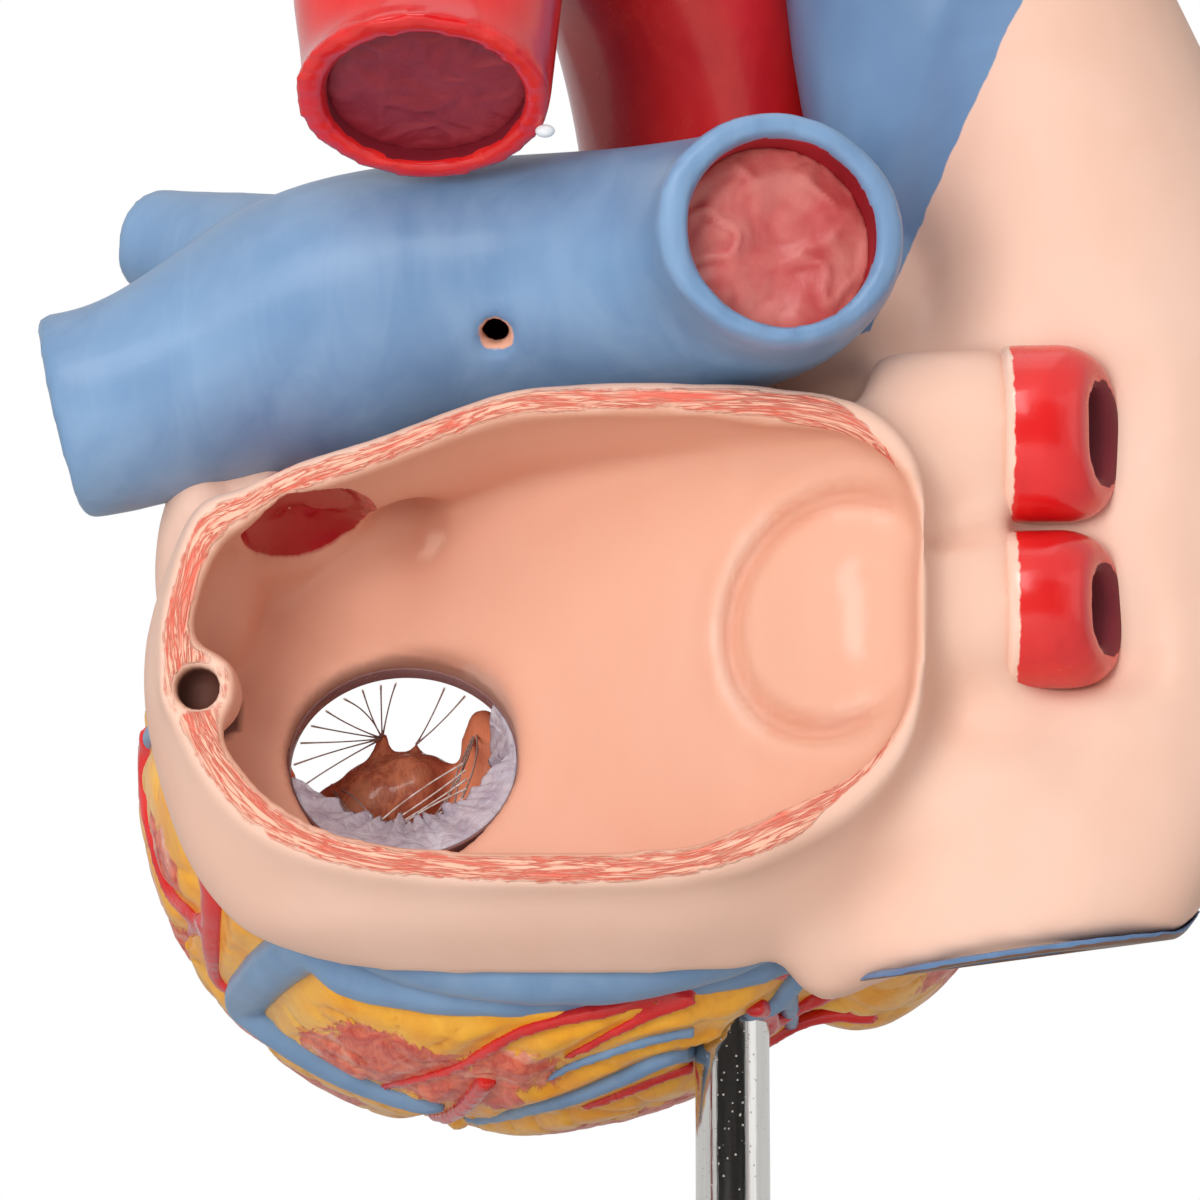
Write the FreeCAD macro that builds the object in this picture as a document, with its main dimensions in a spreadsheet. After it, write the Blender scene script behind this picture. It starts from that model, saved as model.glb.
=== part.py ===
import FreeCAD, Part
import Sketcher
import math
import os

# Take-apart teaching heart, about twice life size, seen best from behind.
# Frame: +Z up, -Y the front (anterior) of the heart, +X the heart's own left.
# The origin is the middle of the flat rest plane under the base, on the post's axis.

Vector = FreeCAD.Vector
doc = FreeCAD.newDocument("heart_model")
sheet = doc.addObject("Spreadsheet::Sheet", "Sizes")

sizes = {
    # stand
    "base_diameter": 140,
    "base_thickness": 16,
    "base_edge_round": 3,
    "base_skirt_chamfer": 1,
    "pad_diameter": 128,
    "pad_thickness": 2,
    "post_diameter": 12,
    "post_length": 122,
    "post_chamfer": 1,
    "post_socket_depth": 8,
    "post_fit_clearance": 0.05,
    "screw_diameter": 6,
    "screw_length": 18,
    "screw_head_diameter": 10,
    "screw_head_height": 3.5,
    "screw_key_size": 4,
    "screw_key_depth": 2,
    "screw_clearance": 0.1,
    "washer_diameter": 16,
    "washer_thickness": 1.5,
    "washer_recess_depth": 6,
    "sleeve_wall": 1.5,
    "sleeve_grip": 36,
    "sleeve_cap": 3,
    "turn_clearance": 0.3,
    # valve plane between the atria and the ventricles
    "valve_plane_y": 40,
    "valve_plane_z": 100,
    "valve_plane_tilt": 28,
    # left and right ventricles
    "left_vent_x": 32,
    "left_vent_y": -20,
    "left_vent_z": 137,
    "left_vent_half_length": 92,
    "left_vent_half_width": 65,
    "left_vent_half_height": 58,
    "left_vent_pitch": 12,
    "left_vent_yaw": 12,
    "right_vent_x": -28,
    "right_vent_y": -25,
    "right_vent_z": 146,
    "right_vent_half_length": 66,
    "right_vent_half_width": 45,
    "right_vent_half_height": 52.5,
    "left_cavity_x": 52,
    "left_cavity_y": -25,
    "left_cavity_z": 134,
    "left_cavity_half_length": 70,
    "left_cavity_half_width": 28,
    "left_cavity_half_height": 33,
    "right_cavity_x": -34,
    "right_cavity_y": -28,
    "right_cavity_z": 146,
    "right_cavity_half_length": 52,
    "right_cavity_half_width": 28,
    "right_cavity_half_height": 36,
    "front_cut_y": -60,
    "vessel_seat_z": 184,
    # valves
    "mitral_x": 52.3,
    "mitral_z": 133.5,
    "mitral_radius": 18,
    "tricuspid_x": -41,
    "tricuspid_z": 148,
    "tricuspid_radius": 18,
    "tricuspid_hole_step": 0.8,
    "tricuspid_hole_reach": 11,
    "mitral_hole_reach": 12,
    "valve_depth": 15,
    "valve_tip_ratio": 0.66,
    "leaflet_thickness": 0.8,
    "fringe_depth": 3,
    "valve_flange": 1.5,
    "muscle_inlet_depth": 14,
    "papillary_radius": 6,
    "papillary_foot_ratio": 1.5,
    "papillary_neck_ratio": 0.6,
    "papillary_tip_ratio": 0.62,
    "thread_radius": 0.4,
    "thread_gap": 0.05,
    "cusp_radius": 9.4,
    "cusp_thickness": 0.9,
    "semilunar_height": 7,
    # left atrium
    "rim_y": 62,
    "rim_center_x": 30,
    "rim_center_z": 150,
    "rim_left": 57,
    "rim_right": 58,
    "rim_up": 35,
    "rim_down": 37,
    "atrium_belly_drop": 16,
    "atrium_wall": 5.5,
    "atrium_septum_wall": 2.5,
    "atrium_floor": 6,
    "septum_x": 45,
    "septum_y": 24,
    "septum_slope": 0.45,
    "fossa_x": -13.5,
    "fossa_y": 47.4,
    "fossa_z": 152,
    "fossa_half_width": 13.5,
    "fossa_half_height": 17,
    "fossa_thickness": 4.2,
    "rim_peg_diameter": 7,
    "rim_peg_depth": 9,
    "rim_peg_x": 82.3,
    "rim_peg_z": 140,
    # right atrium
    "right_atrium_x": -58,
    "right_atrium_y": -2,
    "right_atrium_half_width": 40,
    "right_atrium_back": 44,
    "right_atrium_front": 42,
    "right_atrium_wall": 6,
    "auricle_x": -58,
    "auricle_y": -6,
    "auricle_z": 222,
    "auricle_half_width": 26,
    "auricle_half_depth": 28,
    "auricle_half_height": 36,
    "cava_plane_z": 101,
    "cava_plane_rise": 4,
    "cava_rim_height": 2.5,
    "cava_floor_height": 8,
    "lower_cava_radius": 13,
    # pulmonary veins
    "vein_upper_z": 181,
    "vein_lower_z": 153.5,
    "vein_y": 44,
    "vein_neck_end_x": -43,
    "vein_stub_end_x": -57,
    "vein_cut_angle": 27.6,
    "vein_upper_half_height": 14,
    "vein_lower_half_height": 13,
    "vein_half_depth": 11,
    "vein_wall": 4,
    "left_vein_radius": 9.2,
    "left_vein_wall": 2,
    "left_vein_length": 17,
    "left_vein_z": 174.6,
    # great vessels
    "aorta_radius": 21,
    "aorta_end_radius": 19.5,
    "aorta_wall": 4,
    "aorta_root_x": 4,
    "aorta_root_y": -25,
    "root_radius": 18,
    "outlet_radius": 12,
    "arch_top_z": 284,
    "aorta_end_x": 48.5,
    "aorta_end_y": 67,
    "aorta_end_z": 228,
    "branch_top_z": 326,
    "branch_wall": 2,
    "pulmonary_radius": 21,
    "pulmonary_end_radius": 19,
    "pulmonary_wall": 4.8,
    "pulmonary_root_x": 38,
    "pulmonary_root_y": -39,
    "pulmonary_z": 206.5,
    "pulmonary_y": 30,
    "pulmonary_end_x": -5.5,
    "pulmonary_end_y": 74,
    "pulmonary_left_x": 106.5,
    "pulmonary_peg_diameter": 4.6,
    "pulmonary_peg_depth": 4,
    "pulmonary_peg_x": 37.5,
    "pulmonary_peg_angle": -33,
    "lumen_plug_recess": 9,
    "lumen_plug_thickness": 4,
    "vena_cava_radius": 19,
    "vena_cava_wall": 3,
    "vena_cava_x": -31.5,
    "vena_cava_y": 5,
    "vena_cava_top_z": 298,
    # lift-off outer wall of the right atrium
    "cover_x": -98,
    "cover_y": -6,
    "cover_angle": 21,
    "cover_gap": 0.3,
    "pin_diameter": 2.6,
    "pin_length": 8,
    "pin_clearance": 0.2,
    # vessels on the heart's surface
    "coronary_sinus_radius": 7,
    "coronary_artery_radius": 2.6,
    "cardiac_vein_radius": 3,
}
for row, (name, value) in enumerate(sizes.items(), start=1):
    sheet.set("A%d" % row, name)
    sheet.set("B%d" % row, str(value))
    sheet.setAlias("B%d" % row, name)
doc.recompute()


def size(name):
    return float(sheet.get(name))


# ---------------------------------------------------------------- helpers

def bind(item, **expressions):
    for prop, expression in expressions.items():
        item.setExpression(prop, expression)
    return item


def ref(name):
    return "Sizes." + name


def primitive(kind, name, place, **expressions):
    item = doc.addObject(kind, name)
    bind(item, **expressions)
    item.Placement = place
    return item


def boolean(kind, name, base, tool):
    item = doc.addObject(kind, name)
    item.Base = base
    item.Tool = tool
    return item


def cut(name, base, tool):
    return boolean("Part::Cut", name, base, tool)


def fuse(name, items):
    item = doc.addObject("Part::MultiFuse", name)
    item.Shapes = items
    item.Refine = False
    return item


def common(name, base, tool):
    return boolean("Part::Common", name, base, tool)


def cut_all(name, base, tools):
    for index, tool in enumerate(tools, start=1):
        base = cut("%s_cut_%d" % (name, index), base, tool)
    return base


def group(name, items):
    item = doc.addObject("Part::Compound", name)
    item.Links = items
    return item


def moulded(name, shape):
    item = doc.addObject("Part::Feature", name)
    item.Shape = shape
    return item


def turned_to(direction, point):
    turn = FreeCAD.Rotation(Vector(0, 0, 1), direction)
    return FreeCAD.Placement(point, turn)


section_points = 16


def section(center, side, up, left, top, right, bottom, powers=(2, 2, 2, 2)):
    """Closed outline with its own reach and squareness in each quarter."""
    points = []
    for index in range(section_points):
        angle = 2 * math.pi * index / section_points
        quarter = int(4 * index / section_points)
        power = 2.0 / powers[quarter]
        reach_side = left if math.cos(angle) >= 0 else right
        reach_up = top if math.sin(angle) >= 0 else bottom
        across = math.copysign(abs(math.cos(angle)) ** power, math.cos(angle))
        rise = math.copysign(abs(math.sin(angle)) ** power, math.sin(angle))
        points.append(center + side * (reach_side * across) + up * (reach_up * rise))
    curve = Part.BSplineCurve()
    curve.interpolate(Points=points, PeriodicFlag=True)
    return Part.Wire([curve.toShape()])


def lofted(name, wires):
    return moulded(name, Part.makeLoft(wires, True, False))


def path_frames(points):
    """Side and up directions along a path, carried without twist."""
    frames = []
    up = Vector(0, 0, 1)
    last = len(points) - 1
    for index in range(len(points)):
        ahead = points[min(index + 1, last)]
        behind = points[max(index - 1, 0)]
        along = (ahead - behind).normalize()
        if index == 0 and abs(along.z) > 0.9:
            up = Vector(0, 1, 0)
        side = up.cross(along).normalize()
        up = along.cross(side).normalize()
        frames.append((Vector(side), Vector(up)))
    return frames


def tube_wires(points, radii):
    wires = []
    for point, radius, (side, up) in zip(points, radii, path_frames(points)):
        wires.append(section(point, side, up, radius, radius, radius, radius))
    return wires


def stretched(points, length):
    """The same path with both ends moved outwards."""
    first = points[0] + (points[0] - points[1]).normalize() * length
    final = points[-1] + (points[-1] - points[-2]).normalize() * length
    return [first] + list(points[1:-1]) + [final]


def tube(name, points, radii):
    return lofted(name, tube_wires(points, radii))


def bore_of(name, points, radii, wall):
    return tube(name, stretched(points, 1.0), [radius - wall for radius in radii])


def half_space(name, point, normal, reach=500.0):
    """A big block that fills the side of a plane its normal points to."""
    corner = Vector(-reach / 2, -reach / 2, 0)
    block = Part.makeBox(reach, reach, reach, corner)
    block.Placement = turned_to(normal, point)
    return moulded(name, block)


# valve plane
tilt = math.radians(size("valve_plane_tilt"))
valve_normal = Vector(0, math.cos(tilt), math.sin(tilt))
valve_point = Vector(0, size("valve_plane_y"), size("valve_plane_z"))


def on_valve_plane(x, z, lift=0.0):
    rise = z - valve_point.z
    y = valve_point.y - rise * math.tan(tilt)
    return Vector(x, y, z) + valve_normal * lift


# ---------------------------------------------------------------- stand

def origin_plane(body, role):
    return [item for item in body.Origin.OriginFeatures if item.Role == role][0]


def flat_sketch(body, name, lift="0"):
    sketch = body.newObject("Sketcher::SketchObject", name)
    sketch.AttachmentSupport = (origin_plane(body, "XY_Plane"), [""])
    sketch.MapMode = "FlatFace"
    sketch.setExpression("AttachmentOffset.Base.z", lift)
    return sketch


def round_pad(body, name, diameter, length, lift="0"):
    sketch = flat_sketch(body, name + "_sketch", lift)
    circle = sketch.addGeometry(Part.Circle(Vector(0, 0, 0), Vector(0, 0, 1), 5), False)
    sketch.addConstraint(Sketcher.Constraint("Coincident", circle, 3, -1, 1))
    sketch.addConstraint(Sketcher.Constraint("Diameter", circle, 10))
    sketch.setExpression("Constraints[1]", diameter)
    pad = body.newObject("PartDesign::Pad", name)
    pad.Profile = sketch
    pad.setExpression("Length", length)
    return pad


def round_pocket(body, name, diameter, depth, lift, upwards):
    sketch = flat_sketch(body, name + "_sketch", lift)
    circle = sketch.addGeometry(Part.Circle(Vector(0, 0, 0), Vector(0, 0, 1), 5), False)
    sketch.addConstraint(Sketcher.Constraint("Coincident", circle, 3, -1, 1))
    sketch.addConstraint(Sketcher.Constraint("Diameter", circle, 10))
    sketch.setExpression("Constraints[1]", diameter)
    pocket = body.newObject("PartDesign::Pocket", name)
    pocket.Profile = sketch
    pocket.setExpression("Length", depth)
    pocket.Reversed = upwards
    return pocket


base_bottom = size("pad_thickness")
post_bottom = base_bottom + size("base_thickness") - size("post_socket_depth")
post_top = post_bottom + size("post_length")


def make_base_plate():
    body = doc.addObject("PartDesign::Body", "base_plate_body")
    round_pad(body, "base_disc", ref("base_diameter"), ref("base_thickness"))
    doc.recompute()
    round_pocket(body, "post_socket", ref("post_diameter") + " + 2 * " + ref("post_fit_clearance"),
                 ref("post_socket_depth"), ref("base_thickness"), False)
    round_pocket(body, "screw_passage", ref("screw_diameter") + " + 2 * " + ref("screw_clearance"),
                 ref("base_thickness"), ref("base_thickness"), False)
    round_pocket(body, "washer_recess", ref("washer_diameter") + " + 2 * " + ref("screw_clearance"),
                 ref("washer_recess_depth"), "0", True)
    doc.recompute()
    top_edge = outer_edge(body.Shape, size("base_diameter") / 2, size("base_thickness"))
    holed = body.Tip
    edge_round = body.newObject("PartDesign::Fillet", "base_round")
    edge_round.Base = (holed, [top_edge])
    edge_round.setExpression("Radius", ref("base_edge_round"))
    doc.recompute()
    low_edge = outer_edge(body.Shape, size("base_diameter") / 2, 0)
    skirt = body.newObject("PartDesign::Chamfer", "base_skirt")
    skirt.Base = (edge_round, [low_edge])
    skirt.setExpression("Size", ref("base_skirt_chamfer"))
    body.Placement.Base = Vector(0, 0, base_bottom)
    doc.recompute()
    return body


def outer_edge(shape, radius, height):
    for index, edge in enumerate(shape.Edges, start=1):
        curve = edge.Curve
        round_edge = isinstance(curve, Part.Circle) and abs(curve.Radius - radius) < 0.01
        if round_edge and abs(curve.Center.z - height) < 0.01:
            return "Edge%d" % index
    raise ValueError("no round edge at radius %g, height %g" % (radius, height))


def make_base_pad():
    return primitive("Part::Cylinder", "base_pad", FreeCAD.Placement(),
                     Radius=ref("pad_diameter") + " / 2", Height=ref("pad_thickness"))


def make_stand_post():
    body = doc.addObject("PartDesign::Body", "stand_post")
    round_pad(body, "post_rod", ref("post_diameter"), ref("post_length"))
    doc.recompute()
    thread_depth = ref("screw_length") + " - " + ref("base_thickness") + " + " + \
        ref("post_socket_depth") + " + " + ref("washer_recess_depth")
    round_pocket(body, "thread_bore", ref("screw_diameter") + " + " + ref("screw_clearance"),
                 thread_depth, "0", True)
    doc.recompute()
    top_edge = outer_edge(body.Shape, size("post_diameter") / 2, size("post_length"))
    bored = body.Tip
    chamfer = body.newObject("PartDesign::Chamfer", "post_tip")
    chamfer.Base = (bored, [top_edge])
    chamfer.setExpression("Size", ref("post_chamfer"))
    body.Placement.Base = Vector(0, 0, post_bottom)
    return body


def upright(height):
    return FreeCAD.Placement(Vector(0, 0, height), FreeCAD.Rotation())


def make_base_washer():
    seat = upright(base_bottom + size("washer_recess_depth") - size("washer_thickness"))
    disc = primitive("Part::Cylinder", "washer_disc", seat, Radius=ref("washer_diameter") + " / 2",
                     Height=ref("washer_thickness"))
    hole = primitive("Part::Cylinder", "washer_hole", seat, Height=ref("washer_thickness"),
                     Radius=ref("screw_diameter") + " / 2 + " + ref("screw_clearance"))
    return cut("base_washer", disc, hole)


def make_base_screw():
    seat = base_bottom + size("washer_recess_depth") - size("washer_thickness")
    head_low = seat - size("screw_head_height")
    shank = primitive("Part::Cylinder", "screw_shank", upright(seat),
                      Radius=ref("screw_diameter") + " / 2", Height=ref("screw_length"))
    head = primitive("Part::Cylinder", "screw_head", upright(head_low),
                     Radius=ref("screw_head_diameter") + " / 2", Height=ref("screw_head_height"))
    key = primitive("Part::Prism", "screw_key", upright(head_low),
                    Circumradius=ref("screw_key_size") + " / 1.732", Height=ref("screw_key_depth"))
    return cut("base_screw", fuse("screw_solid", [shank, head]), key)


# ---------------------------------------------------------------- ventricles

long_axis = FreeCAD.Rotation(Vector(1, 0, 0), size("left_vent_pitch")).multVec(Vector(0, -1, 0))
long_axis = FreeCAD.Rotation(Vector(0, 0, 1), size("left_vent_yaw")).multVec(long_axis)
sleeve_radius = size("post_diameter") / 2 + size("post_fit_clearance") + size("sleeve_wall")
sleeve_bottom = post_top - size("sleeve_grip")
sleeve_top = post_top + size("turn_clearance") + size("sleeve_cap")


def ovoid(name, center, axis, length, width, height):
    """Egg of three half-sizes: length along the axis, height upwards."""
    side = Vector(0, 0, 1).cross(axis).normalize()
    up = axis.cross(side).normalize()
    turn = FreeCAD.Rotation(axis, side, up, "XYZ")
    return primitive("Part::Ellipsoid", name, FreeCAD.Placement(center, turn),
                     Radius1=height, Radius2=length, Radius3=width)


def point_of(prefix):
    return Vector(size(prefix + "_x"), size(prefix + "_y"), size(prefix + "_z"))


def straight_bore(name, start, end, radius):
    run = end - start
    item = doc.addObject("Part::Cylinder", name)
    item.Radius = radius
    item.Height = run.Length
    item.Placement = turned_to(run, start)
    return item


def outer_ventricles():
    left = ovoid("left_ventricle_form", point_of("left_vent"), long_axis, ref("left_vent_half_length"),
                 ref("left_vent_half_width"), ref("left_vent_half_height"))
    right = ovoid("right_ventricle_form", point_of("right_vent"), Vector(0, -1, 0),
                  ref("right_vent_half_length"), ref("right_vent_half_width"),
                  ref("right_vent_half_height"))
    form = fuse("ventricle_form", [left, right])
    behind = half_space("ventricle_back", valve_point, valve_normal)
    front = half_space("ventricle_front", Vector(0, size("front_cut_y"), 0), Vector(0, -1, 0))
    top = half_space("ventricle_top", Vector(0, 0, size("vessel_seat_z")), Vector(0, 0, 1))
    return cut_all("ventricle_block", form, [behind, front, top])


mitral_center = on_valve_plane(size("mitral_x"), size("mitral_z"))
tricuspid_center = on_valve_plane(size("tricuspid_x"), size("tricuspid_z"))
aortic_root = Vector(size("aorta_root_x"), size("aorta_root_y"), size("vessel_seat_z"))
pulmonary_root = Vector(size("pulmonary_root_x"), size("pulmonary_root_y"), size("vessel_seat_z"))


def ventricle_hollows():
    left = ovoid("left_cavity", point_of("left_cavity"), Vector(0.06, -1, 0).normalize(),
                 ref("left_cavity_half_length"), ref("left_cavity_half_width"),
                 ref("left_cavity_half_height"))
    right = ovoid("right_cavity", point_of("right_cavity"), Vector(0, -1, 0),
                  ref("right_cavity_half_length"), ref("right_cavity_half_width"),
                  ref("right_cavity_half_height"))
    inlet = size("muscle_inlet_depth")
    mitral = straight_bore("mitral_inlet", mitral_center - valve_normal * inlet,
                           mitral_center + valve_normal, size("mitral_radius"))
    tricuspid = straight_bore("tricuspid_inlet", tricuspid_center - valve_normal * inlet,
                              tricuspid_center + valve_normal, size("tricuspid_radius"))
    root_bore = size("root_radius") - size("aorta_wall")
    aortic = straight_bore("aortic_outlet", point_of("left_cavity"), aortic_root - Vector(0, 0, 4),
                           size("outlet_radius"))
    aortic_ring = straight_bore("aortic_ring", aortic_root - Vector(0, 0, 8), aortic_root + Vector(0, 0, 1),
                                root_bore)
    pulmonary = straight_bore("pulmonary_outlet", point_of("right_cavity"),
                              pulmonary_root - Vector(0, 0, 4), size("outlet_radius"))
    pulmonary_ring = straight_bore("pulmonary_ring", pulmonary_root - Vector(0, 0, 8),
                                   pulmonary_root + Vector(0, 0, 1), root_bore)
    sleeve = straight_bore("sleeve_bore", Vector(0, 0, 0), Vector(0, 0, sleeve_top), sleeve_radius)
    return [left, right, mitral, tricuspid, aortic, aortic_ring, pulmonary, pulmonary_ring, sleeve]


def make_post_sleeve():
    bottom = Vector(0, 0, sleeve_bottom)
    outer = straight_bore("sleeve_outer", bottom, Vector(0, 0, sleeve_top), sleeve_radius)
    inner = straight_bore("sleeve_inner", bottom, Vector(0, 0, post_top + size("turn_clearance")),
                          sleeve_radius - size("sleeve_wall"))
    return cut("post_sleeve", outer, inner)


# vessels that run over the surface of the ventricles

def on_wall(start, direction, prefix, axis, sink=0.0):
    """Where a ray from inside meets one ventricle's egg, less a sink depth."""
    side = Vector(0, 0, 1).cross(axis).normalize()
    up = axis.cross(side).normalize()
    reach = (size(prefix + "_half_length"), size(prefix + "_half_width"), size(prefix + "_half_height"))
    offset = start - point_of(prefix)
    begin = [offset.dot(item) / length for item, length in zip((axis, side, up), reach)]
    step = [direction.dot(item) / length for item, length in zip((axis, side, up), reach)]
    quad = sum(item * item for item in step)
    half = sum(one * two for one, two in zip(begin, step))
    rest = sum(item * item for item in begin) - 1
    travel = (-half + math.sqrt(half * half - quad * rest)) / quad
    return start + direction * (travel - sink)


def groove_points(angles, offset, sink):
    """Points round the left ventricle, just in front of the valve plane."""
    middle = on_valve_plane(size("left_vent_x"), size("left_vent_z"), -offset)
    rise = Vector(0, -math.sin(tilt), math.cos(tilt))
    points = []
    for angle in angles:
        turn = math.radians(angle)
        direction = Vector(1, 0, 0) * math.cos(turn) + rise * math.sin(turn)
        points.append(on_wall(middle, direction, "left_vent", long_axis, sink))
    return points


def surface_points(directions, sink):
    points = []
    for direction in directions:
        toward = Vector(*direction).normalize()
        points.append(on_wall(point_of("left_vent"), toward, "left_vent", long_axis, sink))
    return points


def surface_vessel(name, points, radius):
    radii = [radius] * len(points)
    radii[-1] = radius * 0.7
    front = half_space(name + "_end", Vector(0, size("front_cut_y") + 1, 0), Vector(0, -1, 0))
    return cut(name, tube(name + "_tube", points, radii), front)


def make_coronary_sinus():
    radius = size("coronary_sinus_radius")
    points = groove_points([-140, -120, -100, -80, -60, -42], radius + 2, radius * 0.35)
    return surface_vessel("coronary_sinus", points, radius)


def make_coronary_arteries():
    radius = size("coronary_artery_radius")
    descending = surface_points([(-0.1, 0.05, -1), (0.1, -0.3, -1), (0.3, -0.7, -1), (0.5, -1.1, -1)], 0)
    circumflex = groove_points([-34, -26, -16, -4, 10], radius + 2, 0)
    marginal = surface_points([(1, 0.1, -0.45), (1, -0.15, -0.5), (1, -0.4, -0.6), (1, -0.7, -0.75)], 0)
    return [surface_vessel("posterior_descending_artery", descending, radius),
            surface_vessel("circumflex_artery", circumflex, radius),
            surface_vessel("left_marginal_artery", marginal, radius)]


def make_cardiac_veins():
    radius = size("cardiac_vein_radius")
    middle = surface_points([(0.02, 0.05, -1), (0.24, -0.3, -1), (0.46, -0.7, -1), (0.7, -1.1, -1)], 0)
    marginal = surface_points([(0.9, 0.0, -0.75), (0.85, -0.2, -0.8), (0.8, -0.5, -0.85),
                               (0.8, -0.8, -0.9)], 0)
    return [surface_vessel("middle_cardiac_vein", middle, radius),
            surface_vessel("left_marginal_vein", marginal, radius)]


# ---------------------------------------------------------------- atria

atrium_powers = (1.8, 5.0, 3.0, 2.7)


def left_atrium_wires(grow, behind):
    """Outlines from the flat rim forwards; grow moves the wall out or in."""
    drop = size("atrium_belly_drop")
    septum = size("atrium_septum_wall") / size("atrium_wall") if grow < 0 else 1.0
    # depth in front of the rim, then the change of reach: left, up, right, down
    steps = [(-behind, 0, 0, 0, 0, septum), (12, 3, 0, 0, 0.5 * drop, septum),
             (24, 4, -2, -1, drop, 1), (42, -1, -3, -8, 0.8 * drop, 1),
             (58, -12, -5, -19, 0.2 * drop, 1), (66, -21, -9, -28, -0.4 * drop, 1)]
    wires = []
    for depth, left, top, right, bottom, share in steps:
        center = Vector(size("rim_center_x"), size("rim_y") - depth, size("rim_center_z"))
        wires.append(section(center, Vector(1, 0, 0), Vector(0, 0, 1), size("rim_left") + left + grow,
                             size("rim_up") + top + grow, size("rim_right") + right + grow * share,
                             size("rim_down") + bottom + grow, atrium_powers))
    return wires


vein_slant = math.radians(size("vein_cut_angle"))
vein_far_end = size("vein_stub_end_x") - size("vein_half_depth") * math.tan(vein_slant) - 1


def vein_necks(part_name, start_x, end_x, grow):
    forms = []
    for name in ("upper", "lower"):
        z = size("vein_%s_z" % name)
        half_height = size("vein_%s_half_height" % name) + grow
        half_depth = size("vein_half_depth") + grow
        wires = []
        for index in range(3):
            x = start_x + (end_x - start_x) * index / 2
            center = Vector(x, size("vein_y") + 0.1 * (size("vein_neck_end_x") - x), z)
            wires.append(section(center, Vector(0, -1, 0), Vector(0, 0, 1), half_depth, half_height,
                                 half_depth, half_height))
        forms.append(lofted("%s_%s" % (part_name, name), wires))
    return forms


def make_left_atrium(neighbours):
    outer = lofted("left_atrium_outer", left_atrium_wires(0, 0))
    wall = -size("atrium_wall")
    inner_form = lofted("left_atrium_inner", left_atrium_wires(wall, 2))
    floor_plane = half_space("left_atrium_floor", valve_point + valve_normal * size("atrium_floor"),
                             valve_normal)
    septum_normal = Vector(size("septum_slope"), 1, 0).normalize()
    septum_point = Vector(size("septum_x"), size("septum_y"), 0)
    septum_plane = half_space("left_atrium_septum", septum_point, septum_normal)
    above_floor = common("left_atrium_above_floor", inner_form, floor_plane)
    inner = common("left_atrium_hollow", above_floor, septum_plane)
    start_x = size("rim_center_x") - size("rim_right") + 8
    necks = vein_necks("right_vein_neck", start_x, size("vein_neck_end_x"), 0)
    shell = cut("left_atrium_shell", fuse("left_atrium_solid", [outer] + necks), inner)
    shell = fuse("left_atrium_with_fossa", [shell, fossa_egg(septum_normal)])
    hole = straight_bore("mitral_hole", mitral_center - valve_normal,
                         mitral_center + valve_normal * size("mitral_hole_reach"), size("mitral_radius"))
    peg_mouth = Vector(size("rim_peg_x"), size("rim_y") + 1, size("rim_peg_z"))
    peg = straight_bore("rim_peg_hole", peg_mouth - Vector(0, 1 + size("rim_peg_depth"), 0), peg_mouth,
                        size("rim_peg_diameter") / 2)
    body = cut_all("left_atrium_bored", shell, neighbours + [hole, peg, left_vein_form])
    return body, outer, inner


def fossa_egg(direction):
    """Low oval boss in the wall between the atria."""
    side = Vector(0, 0, 1).cross(direction).normalize()
    up = direction.cross(side).normalize()
    turn = FreeCAD.Rotation(direction, side, up, "XYZ")
    return primitive("Part::Ellipsoid", "fossa_ovalis", FreeCAD.Placement(point_of("fossa"), turn),
                     Radius1=ref("fossa_half_height"), Radius2=ref("fossa_thickness"),
                     Radius3=ref("fossa_half_width"))


def right_atrium_wires(grow, thicker_back=0):
    half_width = size("right_atrium_half_width")
    # height, shift of the middle in x and y, then shares of the reach: left, back, right, front
    steps = [(96, 14, 32, 0.70, 0.50, 0.46, 0.50), (118, 8, 24, 0.80, 0.70, 0.82, 0.85),
             (150, 1, 6, 0.88, 0.90, 1.00, 1.00), (185, 0, 0, 0.90, 1.00, 1.02, 1.00),
             (220, 3, 0, 0.85, 0.95, 0.95, 0.90), (250, 8, 2, 0.65, 0.72, 0.77, 0.66),
             (270, 10, 4, 0.50, 0.50, 0.58, 0.46), (280, 9, 5, 0.26, 0.26, 0.34, 0.24)]
    wires = []
    for z, shift_x, shift_y, left, back, right, front in steps:
        center = Vector(size("right_atrium_x") + shift_x, size("right_atrium_y") + shift_y, z)
        back_reach = (size("right_atrium_back") - thicker_back) * back + grow
        wires.append(section(center, Vector(1, 0, 0), Vector(0, 1, 0), half_width * left + grow, back_reach,
                             half_width * right + grow, size("right_atrium_front") * front + grow))
    return wires


cava_normal = Vector(size("cava_plane_rise") / 30.0, 0, 1).normalize()
cava_point = Vector(-42, 38, size("cava_plane_z"))
cava_top = Vector(size("vena_cava_x"), size("vena_cava_y"), size("vena_cava_top_z"))
cava_path = [cava_top, Vector(cava_top.x - 0.5, cava_top.y, 265),
             Vector(cava_top.x - 5, cava_top.y - 1, 236), Vector(cava_top.x - 11, cava_top.y - 2, 212)]
cava_radii = [size("vena_cava_radius")] * 3 + [size("vena_cava_radius") - 1]


cover_turn = math.radians(size("cover_angle"))
cover_normal = Vector(-math.sin(cover_turn), -math.cos(cover_turn), 0)
cover_point = Vector(size("cover_x"), size("cover_y"), 0)


def cover_pin_middles():
    """Middles of the pins: in the wall, where the cover's seam crosses two outlines."""
    wires = right_atrium_wires(-size("right_atrium_wall") * 0.53)
    middles = []
    for wire in (wires[3], wires[5]):
        near = sorted(wire.discretize(720), key=lambda point: abs((point - cover_point).dot(cover_normal)))
        middles.append(min(near[:4], key=lambda point: point.x))
    return middles


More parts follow.
